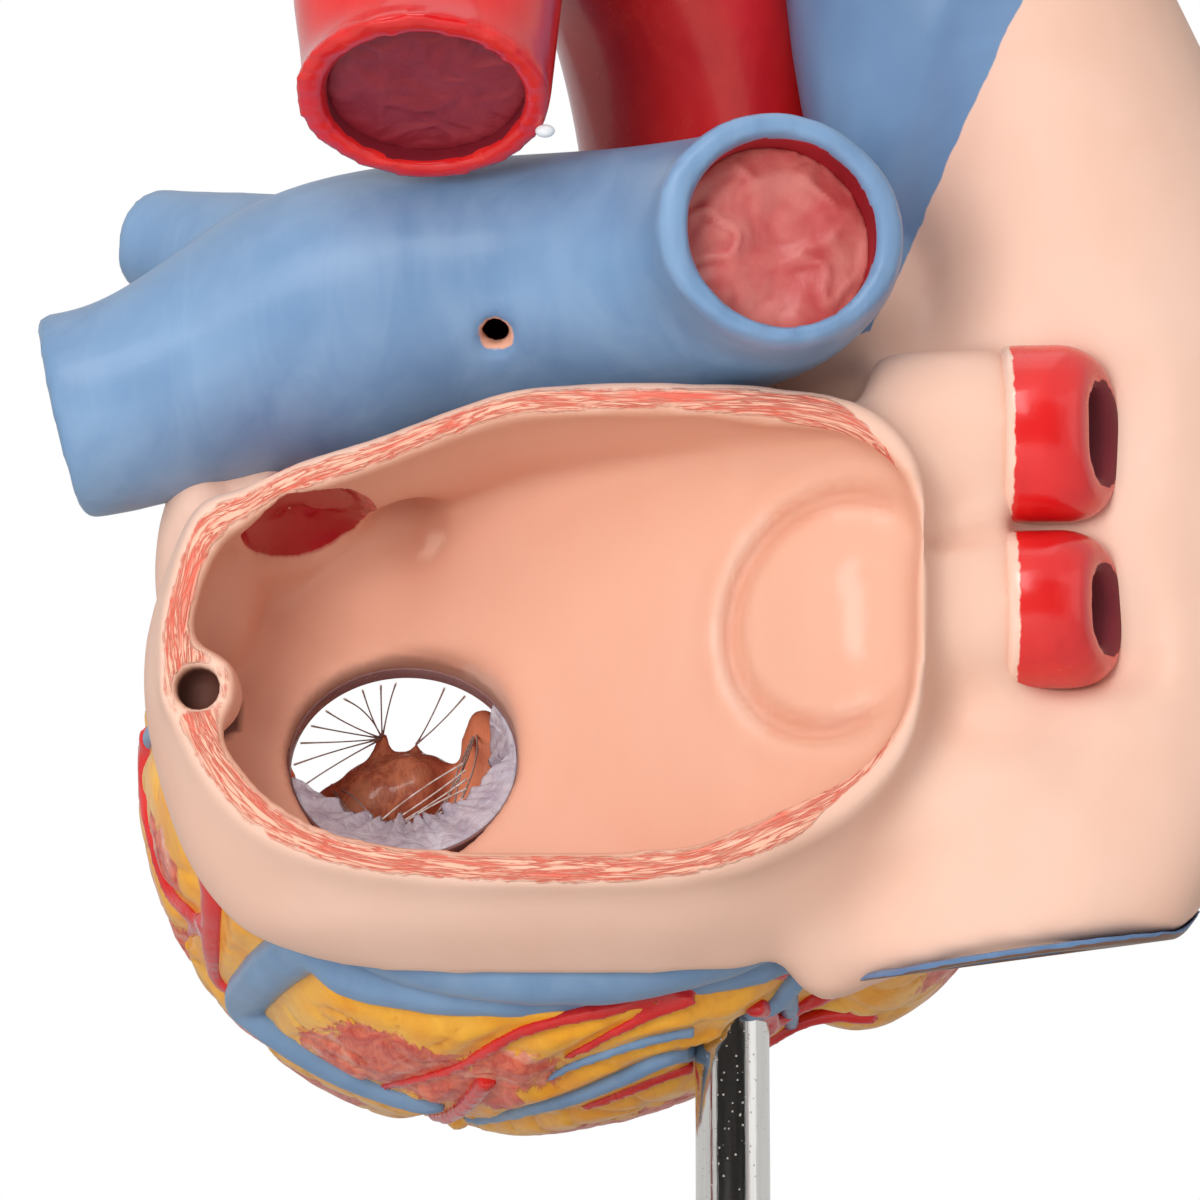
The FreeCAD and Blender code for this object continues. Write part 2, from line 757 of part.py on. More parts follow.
def make_right_atrium(left_outer, left_roomy, ventricle_block):
    outer = lofted("right_atrium_outer", right_atrium_wires(0))
    back_face = size("right_atrium_y") + size("right_atrium_back")
    vein_seat = back_face - size("vein_y") + size("vein_half_depth")
    inner_form = lofted("right_atrium_inner", right_atrium_wires(-size("right_atrium_wall"), vein_seat))
    above_cava = half_space("above_cava", cava_point + cava_normal * size("cava_floor_height"), cava_normal)
    rim_top = cava_point + cava_normal * size("cava_rim_height")
    floor_plane = half_space("right_atrium_floor", valve_point + valve_normal * size("atrium_floor"),
                             valve_normal * -1)
    room = cut("right_atrium_room", common("right_atrium_space", inner_form, above_cava), floor_plane)
    hollow = cut("right_atrium_hollow", room, left_roomy)
    auricle = primitive("Part::Ellipsoid", "auricle_hollow", FreeCAD.Placement(point_of("auricle"),
                        FreeCAD.Rotation()), Radius1=ref("auricle_half_height"),
                        Radius2=ref("auricle_half_width"), Radius3=ref("auricle_half_depth"))
    below_rim = half_space("right_atrium_base", rim_top, cava_normal * -1)
    neck_forms = vein_necks("right_vein_form", -15, vein_far_end - 1, 0)
    hole = straight_bore("tricuspid_hole", tricuspid_center - valve_normal,
                         tricuspid_center + valve_normal * size("tricuspid_hole_reach"),
                         size("tricuspid_radius") - size("tricuspid_hole_step"))
    cava_bore = straight_bore("lower_cava_bore", cava_point - cava_normal * 5,
                              cava_point + cava_normal * 14, size("lower_cava_radius"))
    upper_bore = bore_of("upper_cava_bore", cava_path, cava_radii, size("vena_cava_wall"))
    shell = cut_all("right_atrium_shell", outer, [below_rim, left_outer] + neck_forms +
                    [ventricle_block, hollow, auricle, hole, upper_bore])
    pins, tight, roomy = pins_and_holes("cover_pins", cover_pin_middles(), cover_normal)
    front = half_space("cover_space", cover_point + cover_normal * size("cover_gap"), cover_normal)
    ahead = half_space("cover_seam", cover_point, cover_normal)
    body = cut_all("right_atrium", shell, [ahead] + tight)
    cover = cut_all("right_atrium_wall", common("right_atrium_cover", shell, front), roomy)
    rim_slab = common("cava_slab", outer, half_space("above_rim", cava_point, cava_normal))
    above = half_space("over_rim", rim_top, cava_normal)
    rim = cut_all("inferior_vena_cava", rim_slab, [above, cava_bore, left_outer, ventricle_block])
    tube_solid = tube("upper_cava_form", cava_path, cava_radii)
    cava = cut_all("superior_vena_cava", tube_solid, [upper_bore, outer])
    return body, cover, pins, rim, cava


def make_right_veins():
    stubs = vein_necks("right_vein_stub", size("vein_neck_end_x"), vein_far_end, 0)
    bores = vein_necks("right_vein_lumen", size("vein_neck_end_x") + 1, vein_far_end - 1,
                       -size("vein_wall"))
    beyond = half_space("vein_cut", Vector(size("vein_stub_end_x"), size("vein_y"), 0),
                        Vector(-math.cos(vein_slant), math.sin(vein_slant), 0))
    return [cut_all("right_superior_pulmonary_vein", stubs[0], [bores[0], beyond]),
            cut_all("right_inferior_pulmonary_vein", stubs[1], [bores[1], beyond])]


left_vein_start = Vector(66, 32, size("left_vein_z"))
left_vein_axis = Vector(0.76, -0.62, -0.02).normalize()
left_vein_form = straight_bore("left_vein_form", left_vein_start,
                               left_vein_start + left_vein_axis * size("left_vein_length"),
                               size("left_vein_radius"))


def make_left_vein(neighbours):
    lumen = straight_bore("left_vein_lumen", left_vein_start - left_vein_axis,
                          left_vein_start + left_vein_axis * (size("left_vein_length") - 2),
                          size("left_vein_radius") - size("left_vein_wall"))
    return cut_all("left_pulmonary_vein", left_vein_form, [lumen] + neighbours)


# ---------------------------------------------------------------- great vessels

arch_top = size("arch_top_z")
aorta_end = point_of("aorta_end")
aorta_path = [aortic_root, aortic_root + Vector(0, 0, 14),
              aortic_root + Vector(2, 4, 41), aortic_root + Vector(6, 13, 67), Vector(18, 3, arch_top - 9),
              Vector(29, 23, arch_top), Vector(40, 44, arch_top - 6), Vector(46.5, 56, 262),
              aorta_end + Vector(-0.5, -7, 16), aorta_end]
aorta_radii = [size("root_radius"), size("root_radius") + 1] + [size("aorta_radius") + 0.3] * 6 + \
    [size("aorta_radius") - 0.5, size("aorta_end_radius")]


def trunk_path():
    root = pulmonary_root
    return [root, root + Vector(0, 0, 9), root + Vector(4, 9, 22), root + Vector(8, 28, 29),
            root + Vector(11, 50, 27), Vector(50, size("pulmonary_y") - 4, size("pulmonary_z"))]


def pulmonary_paths():
    middle_y = size("pulmonary_y")
    middle_z = size("pulmonary_z")
    end = Vector(size("pulmonary_end_x"), size("pulmonary_end_y"), middle_z)
    far_x = size("pulmonary_left_x")
    radius = size("pulmonary_radius")
    main = [Vector(far_x, middle_y + 3, 186), Vector(far_x - 13, middle_y + 3, 189),
            Vector(far_x - 28, middle_y + 1, 196), Vector(far_x - 45, middle_y, 203),
            Vector(48, middle_y, middle_z), Vector(28, middle_y + 2, middle_z + 1),
            Vector(10, middle_y + 12, middle_z + 0.5), Vector(-2, middle_y + 27, middle_z), end]
    main_radii = [radius - 4.5, radius - 4, radius - 1, radius + 1, radius, radius, radius - 0.5,
                  radius - 1, size("pulmonary_end_radius")]
    upper = [Vector(far_x - 10, 8, 221), Vector(far_x - 18, 12, 218), Vector(far_x - 30, 20, 212),
             Vector(far_x - 44, 27, 206)]
    upper_radii = [8.5, 10, 13.5, 15]
    trunk = trunk_path()
    trunk_radii = [size("root_radius")] * 2 + [radius - 2] * 4
    return [("pulmonary_main", main, main_radii), ("pulmonary_upper", upper, upper_radii),
            ("pulmonary_trunk", trunk, trunk_radii)]


def make_branches(aorta_form):
    wall = size("branch_wall")
    top = size("branch_top_z")
    routes = {
        "brachiocephalic_trunk": (8.5, [Vector(14, -3, arch_top - 4), Vector(10, -7, 308),
                                        Vector(6, -9, top)]),
        "left_common_carotid": (6.5, [Vector(26, 16, arch_top), Vector(27, 16, 311),
                                      Vector(28, 15, top)]),
        "left_subclavian": (7.0, [Vector(37, 36, arch_top), Vector(40, 37, 310), Vector(44, 37, top)]),
    }
    branches = []
    bores = []
    for name, (radius, points) in routes.items():
        bore = bore_of(name + "_bore", points, [radius] * 3, wall)
        bores.append(bore)
        branches.append(cut_all(name, tube(name + "_form", points, [radius] * 3), [bore, aorta_form]))
    return branches, bores


def lumen_plug(name, bore, path):
    outwards = (path[-1] - path[-2]).normalize()
    far = path[-1] - outwards * size("lumen_plug_recess")
    disc = straight_bore(name + "_disc", far - outwards * size("lumen_plug_thickness"), far, 40)
    return common(name, bore, disc)


def make_vessels():
    aorta_form = tube("aorta_form", aorta_path, aorta_radii)
    aorta_bore = bore_of("aorta_bore", aorta_path, aorta_radii, size("aorta_wall"))
    branches, branch_bores = make_branches(aorta_form)
    aorta = cut_all("aorta", aorta_form, [aorta_bore] + branch_bores)
    forms = []
    bores = []
    for name, points, radii in pulmonary_paths():
        forms.append(tube(name, points, radii))
        bores.append(bore_of(name + "_bore", points, radii, size("pulmonary_wall")))
    pulmonary_form = fuse("pulmonary_form", forms)
    pulmonary_bore = fuse("pulmonary_bore", bores)
    peg_angle = math.radians(size("pulmonary_peg_angle"))
    outwards = Vector(0, math.cos(peg_angle), math.sin(peg_angle))
    peg_middle = Vector(size("pulmonary_peg_x"), size("pulmonary_y") + 1, size("pulmonary_z") + 0.5)
    peg = straight_bore("pulmonary_peg_hole",
                        peg_middle + outwards * (size("pulmonary_radius") - size("pulmonary_peg_depth")),
                        peg_middle + outwards * (size("pulmonary_radius") + 3),
                        size("pulmonary_peg_diameter") / 2)
    artery = cut_all("pulmonary_artery_bored", pulmonary_form, [pulmonary_bore, aorta_form, peg])
    main_path = pulmonary_paths()[0][1]
    plugs = [lumen_plug("aorta_lumen_plug", aorta_bore, aorta_path),
             lumen_plug("pulmonary_lumen_plug", bores[0], main_path)]
    return aorta, artery, pulmonary_form, branches, plugs


# ---------------------------------------------------------------- valves

valve_side = Vector(1, 0, 0)
valve_rise = valve_normal.cross(valve_side) * -1


def leaflet_valve(name, center, radius, leaflets):
    """Flange ring with a short fringe, and a tapering skirt over each leaflet's sweep."""
    thick = size("leaflet_thickness")
    flange = size("valve_flange")
    tip = radius * size("valve_tip_ratio")
    place = turned_to(valve_normal * -1, center)
    depth = size("valve_depth")

    def taper(label, kind, top_radius, low_radius, height, start=0, sweep=360):
        item = doc.addObject("Part::" + kind, "%s_%s" % (name, label))
        if kind == "Cone":
            item.Radius1 = top_radius
            item.Radius2 = low_radius
        else:
            item.Radius = top_radius
        item.Height = height
        item.Angle = sweep
        spin = FreeCAD.Placement(Vector(), FreeCAD.Rotation(Vector(0, 0, 1), start))
        item.Placement = place.multiply(spin)
        return item

    ring = taper("ring", "Cylinder", radius, radius, size("fringe_depth"))
    ring_hole = taper("ring_hole", "Cylinder", radius - flange, 0, size("fringe_depth"))
    pieces = [cut(name + "_flange", ring, ring_hole)]
    for index, (start, sweep) in enumerate(leaflets, start=1):
        outside = taper("skirt_%d" % index, "Cone", radius - flange + thick, tip, depth, start, sweep)
        inside = taper("skirt_hole_%d" % index, "Cone", radius - flange, tip - thick, depth)
        pieces.append(cut("%s_leaf_%d" % (name, index), outside, inside))
    return fuse(name, pieces)


def ring_point(center, radius, angle, depth):
    turn = math.radians(angle)
    return center + valve_side * (radius * math.cos(turn)) + valve_rise * (radius * math.sin(turn)) \
        - valve_normal * depth


def papillary_muscles(name, cavity, feet_and_tips):
    """Tapering mounds that rise from the cavity wall to a round tip."""
    solids = []
    for index, (foot_point, tip_point) in enumerate(feet_and_tips, start=1):
        run = tip_point - foot_point
        cone = doc.addObject("Part::Cone", "%s_cone_%d" % (name, index))
        cone.Radius1 = size("papillary_radius") * size("papillary_foot_ratio")
        cone.Radius2 = size("papillary_radius") * size("papillary_neck_ratio")
        cone.Height = run.Length
        cone.Placement = turned_to(run, foot_point)
        tip = doc.addObject("Part::Sphere", "%s_tip_%d" % (name, index))
        tip.Radius = size("papillary_radius") * size("papillary_tip_ratio")
        tip.Placement = turned_to(run, tip_point)
        mound = fuse("%s_mound_%d" % (name, index), [cone, tip])
        solids.append(common("%s_%d" % (name, index), mound, cavity))
    return group(name, solids)


def chordae(name, center, radius, muscles, fans):
    """Threads from each muscle to the fringe or to the free edge of a leaflet."""
    fringe = (radius - size("valve_flange"), size("fringe_depth"))
    free_edge = (radius * size("valve_tip_ratio"), size("valve_depth") + size("thread_radius"))
    clear = size("papillary_radius") * size("papillary_tip_ratio")
    threads = []
    for tip, to_fringe, angles in fans:
        reach, depth = fringe if to_fringe else free_edge
        for angle in angles:
            edge = ring_point(center, reach, angle, depth)
            run = edge - tip
            start = tip + run.normalize() * (clear + size("thread_gap"))
            threads.append(straight_bore("%s_%d" % (name, len(threads) + 1), start, edge,
                                         size("thread_radius")))
    return cut(name, group(name + "_threads", threads), muscles)


def semilunar_valve(name, root, radius):
    """Ring with three pockets that meet in the middle of the outlet."""
    low = size("semilunar_height")
    place = root - Vector(0, 0, low)
    inside = doc.addObject("Part::Cylinder", name + "_space")
    inside.Radius = radius
    inside.Height = low
    inside.Placement.Base = place
    ring_hole = doc.addObject("Part::Cylinder", name + "_ring_hole")
    ring_hole.Radius = radius - size("valve_flange")
    ring_hole.Height = low
    ring_hole.Placement.Base = place
    cups = []
    pockets = []
    for index in range(3):
        turn = math.radians(90 + 120 * index)
        middle = Vector(math.cos(turn), math.sin(turn), 0) * (radius - size("cusp_radius"))
        for list_of, shrink, label in ((cups, 0, "cup"), (pockets, size("cusp_thickness"), "pocket")):
            ball = doc.addObject("Part::Sphere", "%s_%s_%d" % (name, label, index + 1))
            ball.Radius = size("cusp_radius") - shrink
            ball.Angle2 = 0
            ball.Placement.Base = root + middle
            list_of.append(ball)
    solid = cut(name + "_cusps", fuse(name + "_cups", cups), fuse(name + "_pockets", pockets))
    ring = cut(name + "_ring", inside, ring_hole)
    return common(name, fuse(name + "_solid", [ring, solid]), inside)


def pin(name, middle, direction, diameter, length):
    half = direction * (length / 2)
    return straight_bore(name, middle - half, middle + half, diameter / 2)


def pins_and_holes(name, middles, direction):
    """Pins fixed at one half, with roomy holes for the other half."""
    pins = []
    tight = []
    roomy = []
    length = size("pin_length")
    diameter = size("pin_diameter")
    spare = 2 * size("pin_clearance")
    for index, middle in enumerate(middles, start=1):
        pins.append(pin("%s_%d" % (name, index), middle, direction, diameter, length))
        tight.append(pin("%s_seat_%d" % (name, index), middle, direction, diameter, length))
        roomy.append(pin("%s_room_%d" % (name, index), middle, direction, diameter + spare, length + spare))
    return group(name, pins), tight, roomy


# ---------------------------------------------------------------- assembly

def assemble():
    pieces = {}
    pieces["base_plate"] = make_base_plate()
    pieces["base_pad"] = make_base_pad()
    pieces["stand_post"] = make_stand_post()
    pieces["base_washer"] = make_base_washer()
    pieces["base_screw"] = make_base_screw()
    pieces["post_sleeve"] = make_post_sleeve()

    block = outer_ventricles()
    hollows = ventricle_hollows()
    sinus = make_coronary_sinus()
    arteries = make_coronary_arteries()
    veins = make_cardiac_veins()
    pieces["ventricles"] = cut_all("ventricles", block, hollows + [sinus] + arteries + veins)
    pieces["coronary_sinus"] = sinus
    pieces["coronary_arteries"] = group("coronary_arteries", arteries)
    pieces["cardiac_veins"] = group("cardiac_veins", veins)

    left_tips = [(Vector(60, -8, 98), Vector(57, -12, 136)),
                 (Vector(47, -12, 98), Vector(51, -14, 136))]
    pieces["left_papillary_muscles"] = papillary_muscles("left_papillary_muscles", hollows[0], left_tips)
    right_tips = [(Vector(-30, -24, 106), Vector(-35, -14, 130)),
                  (Vector(-46, -20, 108), Vector(-46, -12, 130)),
                  (Vector(-16, -22, 150), Vector(-31, -13, 150))]
    pieces["right_papillary_muscles"] = papillary_muscles("right_papillary_muscles", hollows[1], right_tips)
    pieces["mitral_valve"] = leaflet_valve("mitral_valve", mitral_center, size("mitral_radius"),
                                           [(150, 170)])
    pieces["tricuspid_valve"] = leaflet_valve("tricuspid_valve", tricuspid_center, size("tricuspid_radius"),
                                              [(33, 114), (153, 114), (273, 114)])
    pieces["mitral_chordae"] = chordae("mitral_chordae", mitral_center, size("mitral_radius"),
                                       pieces["left_papillary_muscles"], [
        (left_tips[0][1], True, range(-10, 100, 13)), (left_tips[1][1], True, (112, 126)),
        (left_tips[1][1], False, (165, 190, 215, 240, 265))])
    pieces["tricuspid_chordae"] = chordae("tricuspid_chordae", tricuspid_center, size("tricuspid_radius"),
                                          pieces["right_papillary_muscles"], [
        (right_tips[0][1], False, (-80, -50, -20, 10)), (right_tips[1][1], False, (170, 200, 230, 260)),
        (right_tips[2][1], False, (40, 70, 100, 130))])
    outlet = size("root_radius") - size("aorta_wall")
    pieces["aortic_valve"] = semilunar_valve("aortic_valve", aortic_root, outlet)
    pieces["pulmonary_valve"] = semilunar_valve("pulmonary_valve", pulmonary_root, outlet)

    left_roomy = lofted("left_atrium_roomy", left_atrium_wires(4, -1))
    left_atrium, left_outer, left_inner = make_left_atrium([block, sinus] + arteries)
    right_atrium, cover, pins, cava_rim, cava = make_right_atrium(left_outer, left_roomy, block)
    veins_right = make_right_veins()
    pieces["left_atrium"] = left_atrium
    pieces["right_atrium"] = right_atrium
    pieces["right_atrium_wall"] = cover
    pieces["cover_pins"] = pins
    pieces["inferior_vena_cava"] = cava_rim
    pieces["superior_vena_cava"] = cava
    pieces["right_superior_pulmonary_vein"] = veins_right[0]
    pieces["right_inferior_pulmonary_vein"] = veins_right[1]

    aorta, artery, pulmonary_form, branches, plugs = make_vessels()
    pieces["left_pulmonary_vein"] = make_left_vein([left_inner, block, pulmonary_form])
    pieces["aorta"] = aorta
    pieces["pulmonary_artery"] = artery
    for branch in branches:
        pieces[branch.Name.split("_cut")[0]] = branch
    pieces["aorta_lumen_plug"] = plugs[0]
    pieces["pulmonary_lumen_plug"] = plugs[1]
    return pieces


def check_and_write(pieces):
    doc.recompute()
    for item in doc.Objects:
        if "Invalid" in item.State or "Error" in item.State:
            raise RuntimeError("%s did not build: %s" % (item.Name, item.State))
    os.makedirs("parts", exist_ok=True)
    for node, item in pieces.items():
        item.Label = node
        shape = item.Shape
        if shape.isNull() or not shape.isValid():
            raise RuntimeError("%s has no valid shape" % node)
        print("%-32s solids %2d  volume %10.1f mm3" % (node, len(shape.Solids), shape.Volume))
        shape.exportStep("parts/%s.step" % node)


check_and_write(assemble())
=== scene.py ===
import math

import bmesh
import bpy
import numpy as np
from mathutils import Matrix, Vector, noise
from mathutils.bvhtree import BVHTree


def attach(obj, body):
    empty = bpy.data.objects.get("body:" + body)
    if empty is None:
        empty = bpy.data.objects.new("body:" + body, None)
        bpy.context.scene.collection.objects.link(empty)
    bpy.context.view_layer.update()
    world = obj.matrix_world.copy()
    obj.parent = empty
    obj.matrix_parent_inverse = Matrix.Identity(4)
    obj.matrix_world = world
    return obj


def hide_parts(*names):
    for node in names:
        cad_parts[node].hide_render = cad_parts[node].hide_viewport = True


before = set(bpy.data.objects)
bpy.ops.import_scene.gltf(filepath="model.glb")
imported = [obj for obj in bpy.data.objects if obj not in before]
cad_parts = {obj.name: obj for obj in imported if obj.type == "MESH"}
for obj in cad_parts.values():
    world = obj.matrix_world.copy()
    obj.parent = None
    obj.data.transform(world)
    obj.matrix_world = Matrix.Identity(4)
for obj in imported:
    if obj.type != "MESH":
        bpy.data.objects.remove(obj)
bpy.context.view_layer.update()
print("frame loaded,", len(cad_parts), "nodes")

# camera and sight lines
cameraSet = {"place": (0.02139, 0.70097, 0.05101), "tilt": 9, "turn": 180, "lens": 129.57, "pixels": 4319}
bpy.ops.object.select_all(action="DESELECT")
bpy.ops.object.camera_add(location=cameraSet["place"],
                          rotation=(math.radians(90 + cameraSet["tilt"]), 0, math.radians(cameraSet["turn"])))
cameraObject = bpy.context.object
cameraObject.name = "camera"
cameraObject.data.lens = cameraSet["lens"]
bpy.context.scene.camera = cameraObject
eye = Vector(cameraSet["place"])


def sightLine(spot):  # direction from the camera through a spot of the 1200 x 1200 frame
    tilt = math.radians(cameraSet["tilt"])
    across, up = (spot[0] - 600) / cameraSet["pixels"], (600 - spot[1]) / cameraSet["pixels"]
    back, high = up * math.sin(tilt) - math.cos(tilt), up * math.cos(tilt) + math.sin(tilt)
    return Vector((-across, back, high)).normalized()


def onSight(spot, depth):  # the place in mm on a sight line at a given y
    ray = sightLine(spot)
    return np.array(eye + ray * ((depth / 1000 - eye.y) / ray.y)) * 1000


# small helpers
def pick(*pieces):
    if bpy.context.object and bpy.context.object.mode != "OBJECT":
        bpy.ops.object.mode_set(mode="OBJECT")
    bpy.ops.object.select_all(action="DESELECT")
    for piece in pieces:
        piece.select_set(True)
    if pieces:
        bpy.context.view_layer.objects.active = pieces[0]


def finishWith(piece, kind, **settings):
    pick(piece)
    changer = piece.modifiers.new(kind.lower(), kind)
    for key, value in settings.items():
        setattr(changer, key, value)
    bpy.ops.object.modifier_apply(modifier=changer.name)


def castOf(name, *nodes):  # one mesh from copies of CAD nodes, doubles merged
    twins = []
    for node in nodes:
        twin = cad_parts[node].copy()
        twin.data = twin.data.copy()
        for key in list(twin.keys()):
            del twin[key]
        twin.parent = None
        bpy.context.scene.collection.objects.link(twin)
        twins.append(twin)
    pick(*twins)
    if len(twins) > 1:
        bpy.ops.object.join()
    piece = twins[0]
    piece.name = name
    piece.data.name = name
    piece.data.materials.clear()
    bpy.ops.object.mode_set(mode="EDIT")
    bpy.ops.mesh.select_all(action="SELECT")
    bpy.ops.mesh.remove_doubles(threshold=0.00002)
    bpy.ops.object.mode_set(mode="OBJECT")
    return piece


def joinTo(piece, *others):
    pick(piece, *others)
    bpy.ops.object.join()
    return piece


def recast(piece, voxel, rounds):  # one closed skin of even faces, then smoothed
    finishWith(piece, "REMESH", mode="VOXEL", voxel_size=voxel)
    if rounds:
        finishWith(piece, "SMOOTH", factor=0.5, iterations=rounds)
    pick(piece)
    bpy.ops.object.shade_smooth()


def spots(piece):  # vertex places in mm
    flat = np.empty(len(piece.data.vertices) * 3)
    piece.data.vertices.foreach_get("co", flat)
    return flat.reshape(-1, 3) * 1000


def facing(piece):  # vertex normals
    flat = np.empty(len(piece.data.vertices) * 3)
    piece.data.vertex_normals.foreach_get("vector", flat)
    return flat.reshape(-1, 3)


def moveTo(piece, places):
    piece.data.vertices.foreach_set("co", (places / 1000).ravel())
    piece.data.update()


def mark(piece, name, values):
    layer = piece.data.attributes.new(name, "FLOAT", "POINT")
    layer.data.foreach_set("value", np.asarray(values, dtype=np.float32))


def bump(distance, reach):  # 1 in the middle, 0 from reach on
    t = np.clip(1 - distance / reach, 0, 1)
    return t * t * (3 - 2 * t)


def ramp(value, low, high):
    t = np.clip((value - low) / (high - low), 0, 1)
    return t * t * (3 - 2 * t)


def noiseOf(places, scale, seed=0.0):  # smooth noise, -1 to 1, scale in mm
    return np.array([noise.noise(Vector(p) / scale + Vector((seed, seed, seed))) for p in places])


def edgesOf(piece):
    ends = np.empty(len(piece.data.edges) * 2, dtype=np.int64)
    piece.data.edges.foreach_get("vertices", ends)
    return ends.reshape(-1, 2)


def relax(piece, values, rounds):  # spreads a vertex value over its neighbours
    ends = edgesOf(piece)
    count = np.bincount(ends.ravel(), minlength=len(values)).astype(float)
    count[count == 0] = 1
    single = values.ndim == 1
    values = values.reshape(len(values), -1).astype(float)
    for _ in range(rounds):
        total = np.zeros_like(values)
        for axis in range(values.shape[1]):
            for here, there in ((0, 1), (1, 0)):
                total[:, axis] += np.bincount(ends[:, here], values[ends[:, there], axis], len(values))
        values = values * 0.5 + total / count[:, None] * 0.5
    return values[:, 0] if single else values


def hollows(piece, rounds):  # above 0 in grooves, below 0 on ridges
    places = spots(piece)
    return np.sum((relax(piece, places, rounds) - places) * facing(piece), axis=1)


def treeOf(piece):
    return BVHTree.FromPolygons([v.co for v in piece.data.vertices],
                                [p.vertices for p in piece.data.polygons])


# material tools
def shade(red, green, blue):  # paint chart value to a linear colour
    return tuple(((c / 255 + 0.055) / 1.055) ** 2.4 if c > 10 else c / 3295
                 for c in (red, green, blue)) + (1,)


def feed(tree, socket, value):
    if isinstance(value, bpy.types.NodeSocket):
        tree.links.new(value, socket)
    else:
        socket.default_value = value


def calc(tree, operation, *values, clamp=False):
    node = tree.nodes.new("ShaderNodeMath")
    node.operation = operation
    node.use_clamp = clamp
    for index, value in enumerate(values):
        feed(tree, node.inputs[index], value)
    return node.outputs[0]


def mixed(tree, share, first, second):  # colour mix
    node = tree.nodes.new("ShaderNodeMix")
    node.data_type = "RGBA"
    feed(tree, node.inputs[0], share)
    feed(tree, node.inputs[6], first)
    feed(tree, node.inputs[7], second)
    return node.outputs[2]


def between(tree, share, first, second):  # value mix
    node = tree.nodes.new("ShaderNodeMix")
    feed(tree, node.inputs[0], share)
    feed(tree, node.inputs[2], first)
    feed(tree, node.inputs[3], second)
    return node.outputs[0]


def spread(tree, value, low, high, newLow=0.0, newHigh=1.0):
    node = tree.nodes.new("ShaderNodeMapRange")
    for index, item in enumerate((value, low, high, newLow, newHigh)):
        feed(tree, node.inputs[index], item)
    return node.outputs[0]


def clouds(tree, vector, scale, detail=2.0, rough=0.5, distortion=0.0):
    node = tree.nodes.new("ShaderNodeTexNoise")
    feed(tree, node.inputs["Vector"], vector)
    for key, value in zip(("Scale", "Detail", "Roughness", "Distortion"), (scale, detail, rough, distortion)):
        feed(tree, node.inputs[key], value)
    return node.outputs[0]


def cells(tree, vector, scale):
    node = tree.nodes.new("ShaderNodeTexVoronoi")
    feed(tree, node.inputs["Vector"], vector)
    feed(tree, node.inputs["Scale"], scale)
    return node.outputs["Distance"]


def stretched(tree, vector, scale, turn=(0, 0, 0)):
    node = tree.nodes.new("ShaderNodeMapping")
    feed(tree, node.inputs["Vector"], vector)
    node.inputs["Scale"].default_value = scale
    node.inputs["Rotation"].default_value = turn
    return node.outputs[0]


def relief(tree, height, strength, distance, normal=None):
    node = tree.nodes.new("ShaderNodeBump")
    node.inputs["Strength"].default_value = strength
    node.inputs["Distance"].default_value = distance
    feed(tree, node.inputs["Height"], height)
    if normal is not None:
        feed(tree, node.inputs["Normal"], normal)
    return node.outputs[0]


def marked(tree, name):  # a vertex value of the piece
    node = tree.nodes.new("ShaderNodeAttribute")
    node.attribute_name = name
    return node.outputs["Fac"]


def newGroup(name, inputs, outputs):
    group = bpy.data.node_groups.new(name, "ShaderNodeTree")
    for label, kind, value in inputs:
        socket = group.interface.new_socket(name=label, in_out="INPUT", socket_type=kind)
        if value is not None:
            socket.default_value = value
    for label in outputs:
        group.interface.new_socket(name=label, in_out="OUTPUT", socket_type="NodeSocketFloat")
    entry, leave = group.nodes.new("NodeGroupInput"), group.nodes.new("NodeGroupOutput")
    return group, entry.outputs, leave.inputs


def useGroup(tree, group, **values):
    node = tree.nodes.new("ShaderNodeGroup")
    node.node_tree = group
    for key, value in values.items():
        feed(tree, node.inputs[key], value)
    return node.outputs


# brushed-on paint: soft patches of tone, brush streaks and a fine grain
handPaint, entry, leave = newGroup("handPaint", [("Coordinates", "NodeSocketVector", None),
                                                 ("Patches", "NodeSocketFloat", 30.0),
                                                 ("Streaks", "NodeSocketFloat", 180.0),
                                                 ("Grain", "NodeSocketFloat", 1400.0)],
                                   ["Tone", "Streak", "Height"])
patch = clouds(handPaint, entry["Coordinates"], entry["Patches"], 3.0, 0.55, 0.3)
feed(handPaint, leave["Tone"], spread(handPaint, patch, 0.34, 0.66))
streak = clouds(handPaint, stretched(handPaint, entry["Coordinates"], (1, 1, 0.22), (0.3, 0.5, 0)),
                entry["Streaks"], 3.0, 0.6, 0.6)
feed(handPaint, leave["Streak"], spread(handPaint, streak, 0.35, 0.65))
grain = clouds(handPaint, entry["Coordinates"], entry["Grain"], 2.0, 0.6)
feed(handPaint, leave["Height"], calc(handPaint, "MULTIPLY_ADD", streak, 0.5,
                                      calc(handPaint, "MULTIPLY", grain, 0.35)))

# the wavy edge where one paint stops and the next begins, from a field in mm
paintEdge, entry, leave = newGroup("paintEdge", [("Field", "NodeSocketFloat", 0.0),
                                                 ("Coordinates", "NodeSocketVector", None),
                                                 ("Waver", "NodeSocketFloat", 0.6),
                                                 ("Size", "NodeSocketFloat", 260.0),
                                                 ("Softness", "NodeSocketFloat", 0.25)], ["Mask"])
waver = clouds(paintEdge, entry["Coordinates"], entry["Size"], 3.0, 0.55)
waver = spread(paintEdge, waver, 0.25, 0.75, -1.0, 1.0)
shifted = calc(paintEdge, "ADD", entry["Field"], calc(paintEdge, "MULTIPLY", waver, entry["Waver"]))
softened = calc(paintEdge, "DIVIDE", shifted, entry["Softness"])
feed(paintEdge, leave["Mask"], calc(paintEdge, "ADD", softened, 0.5, clamp=True))

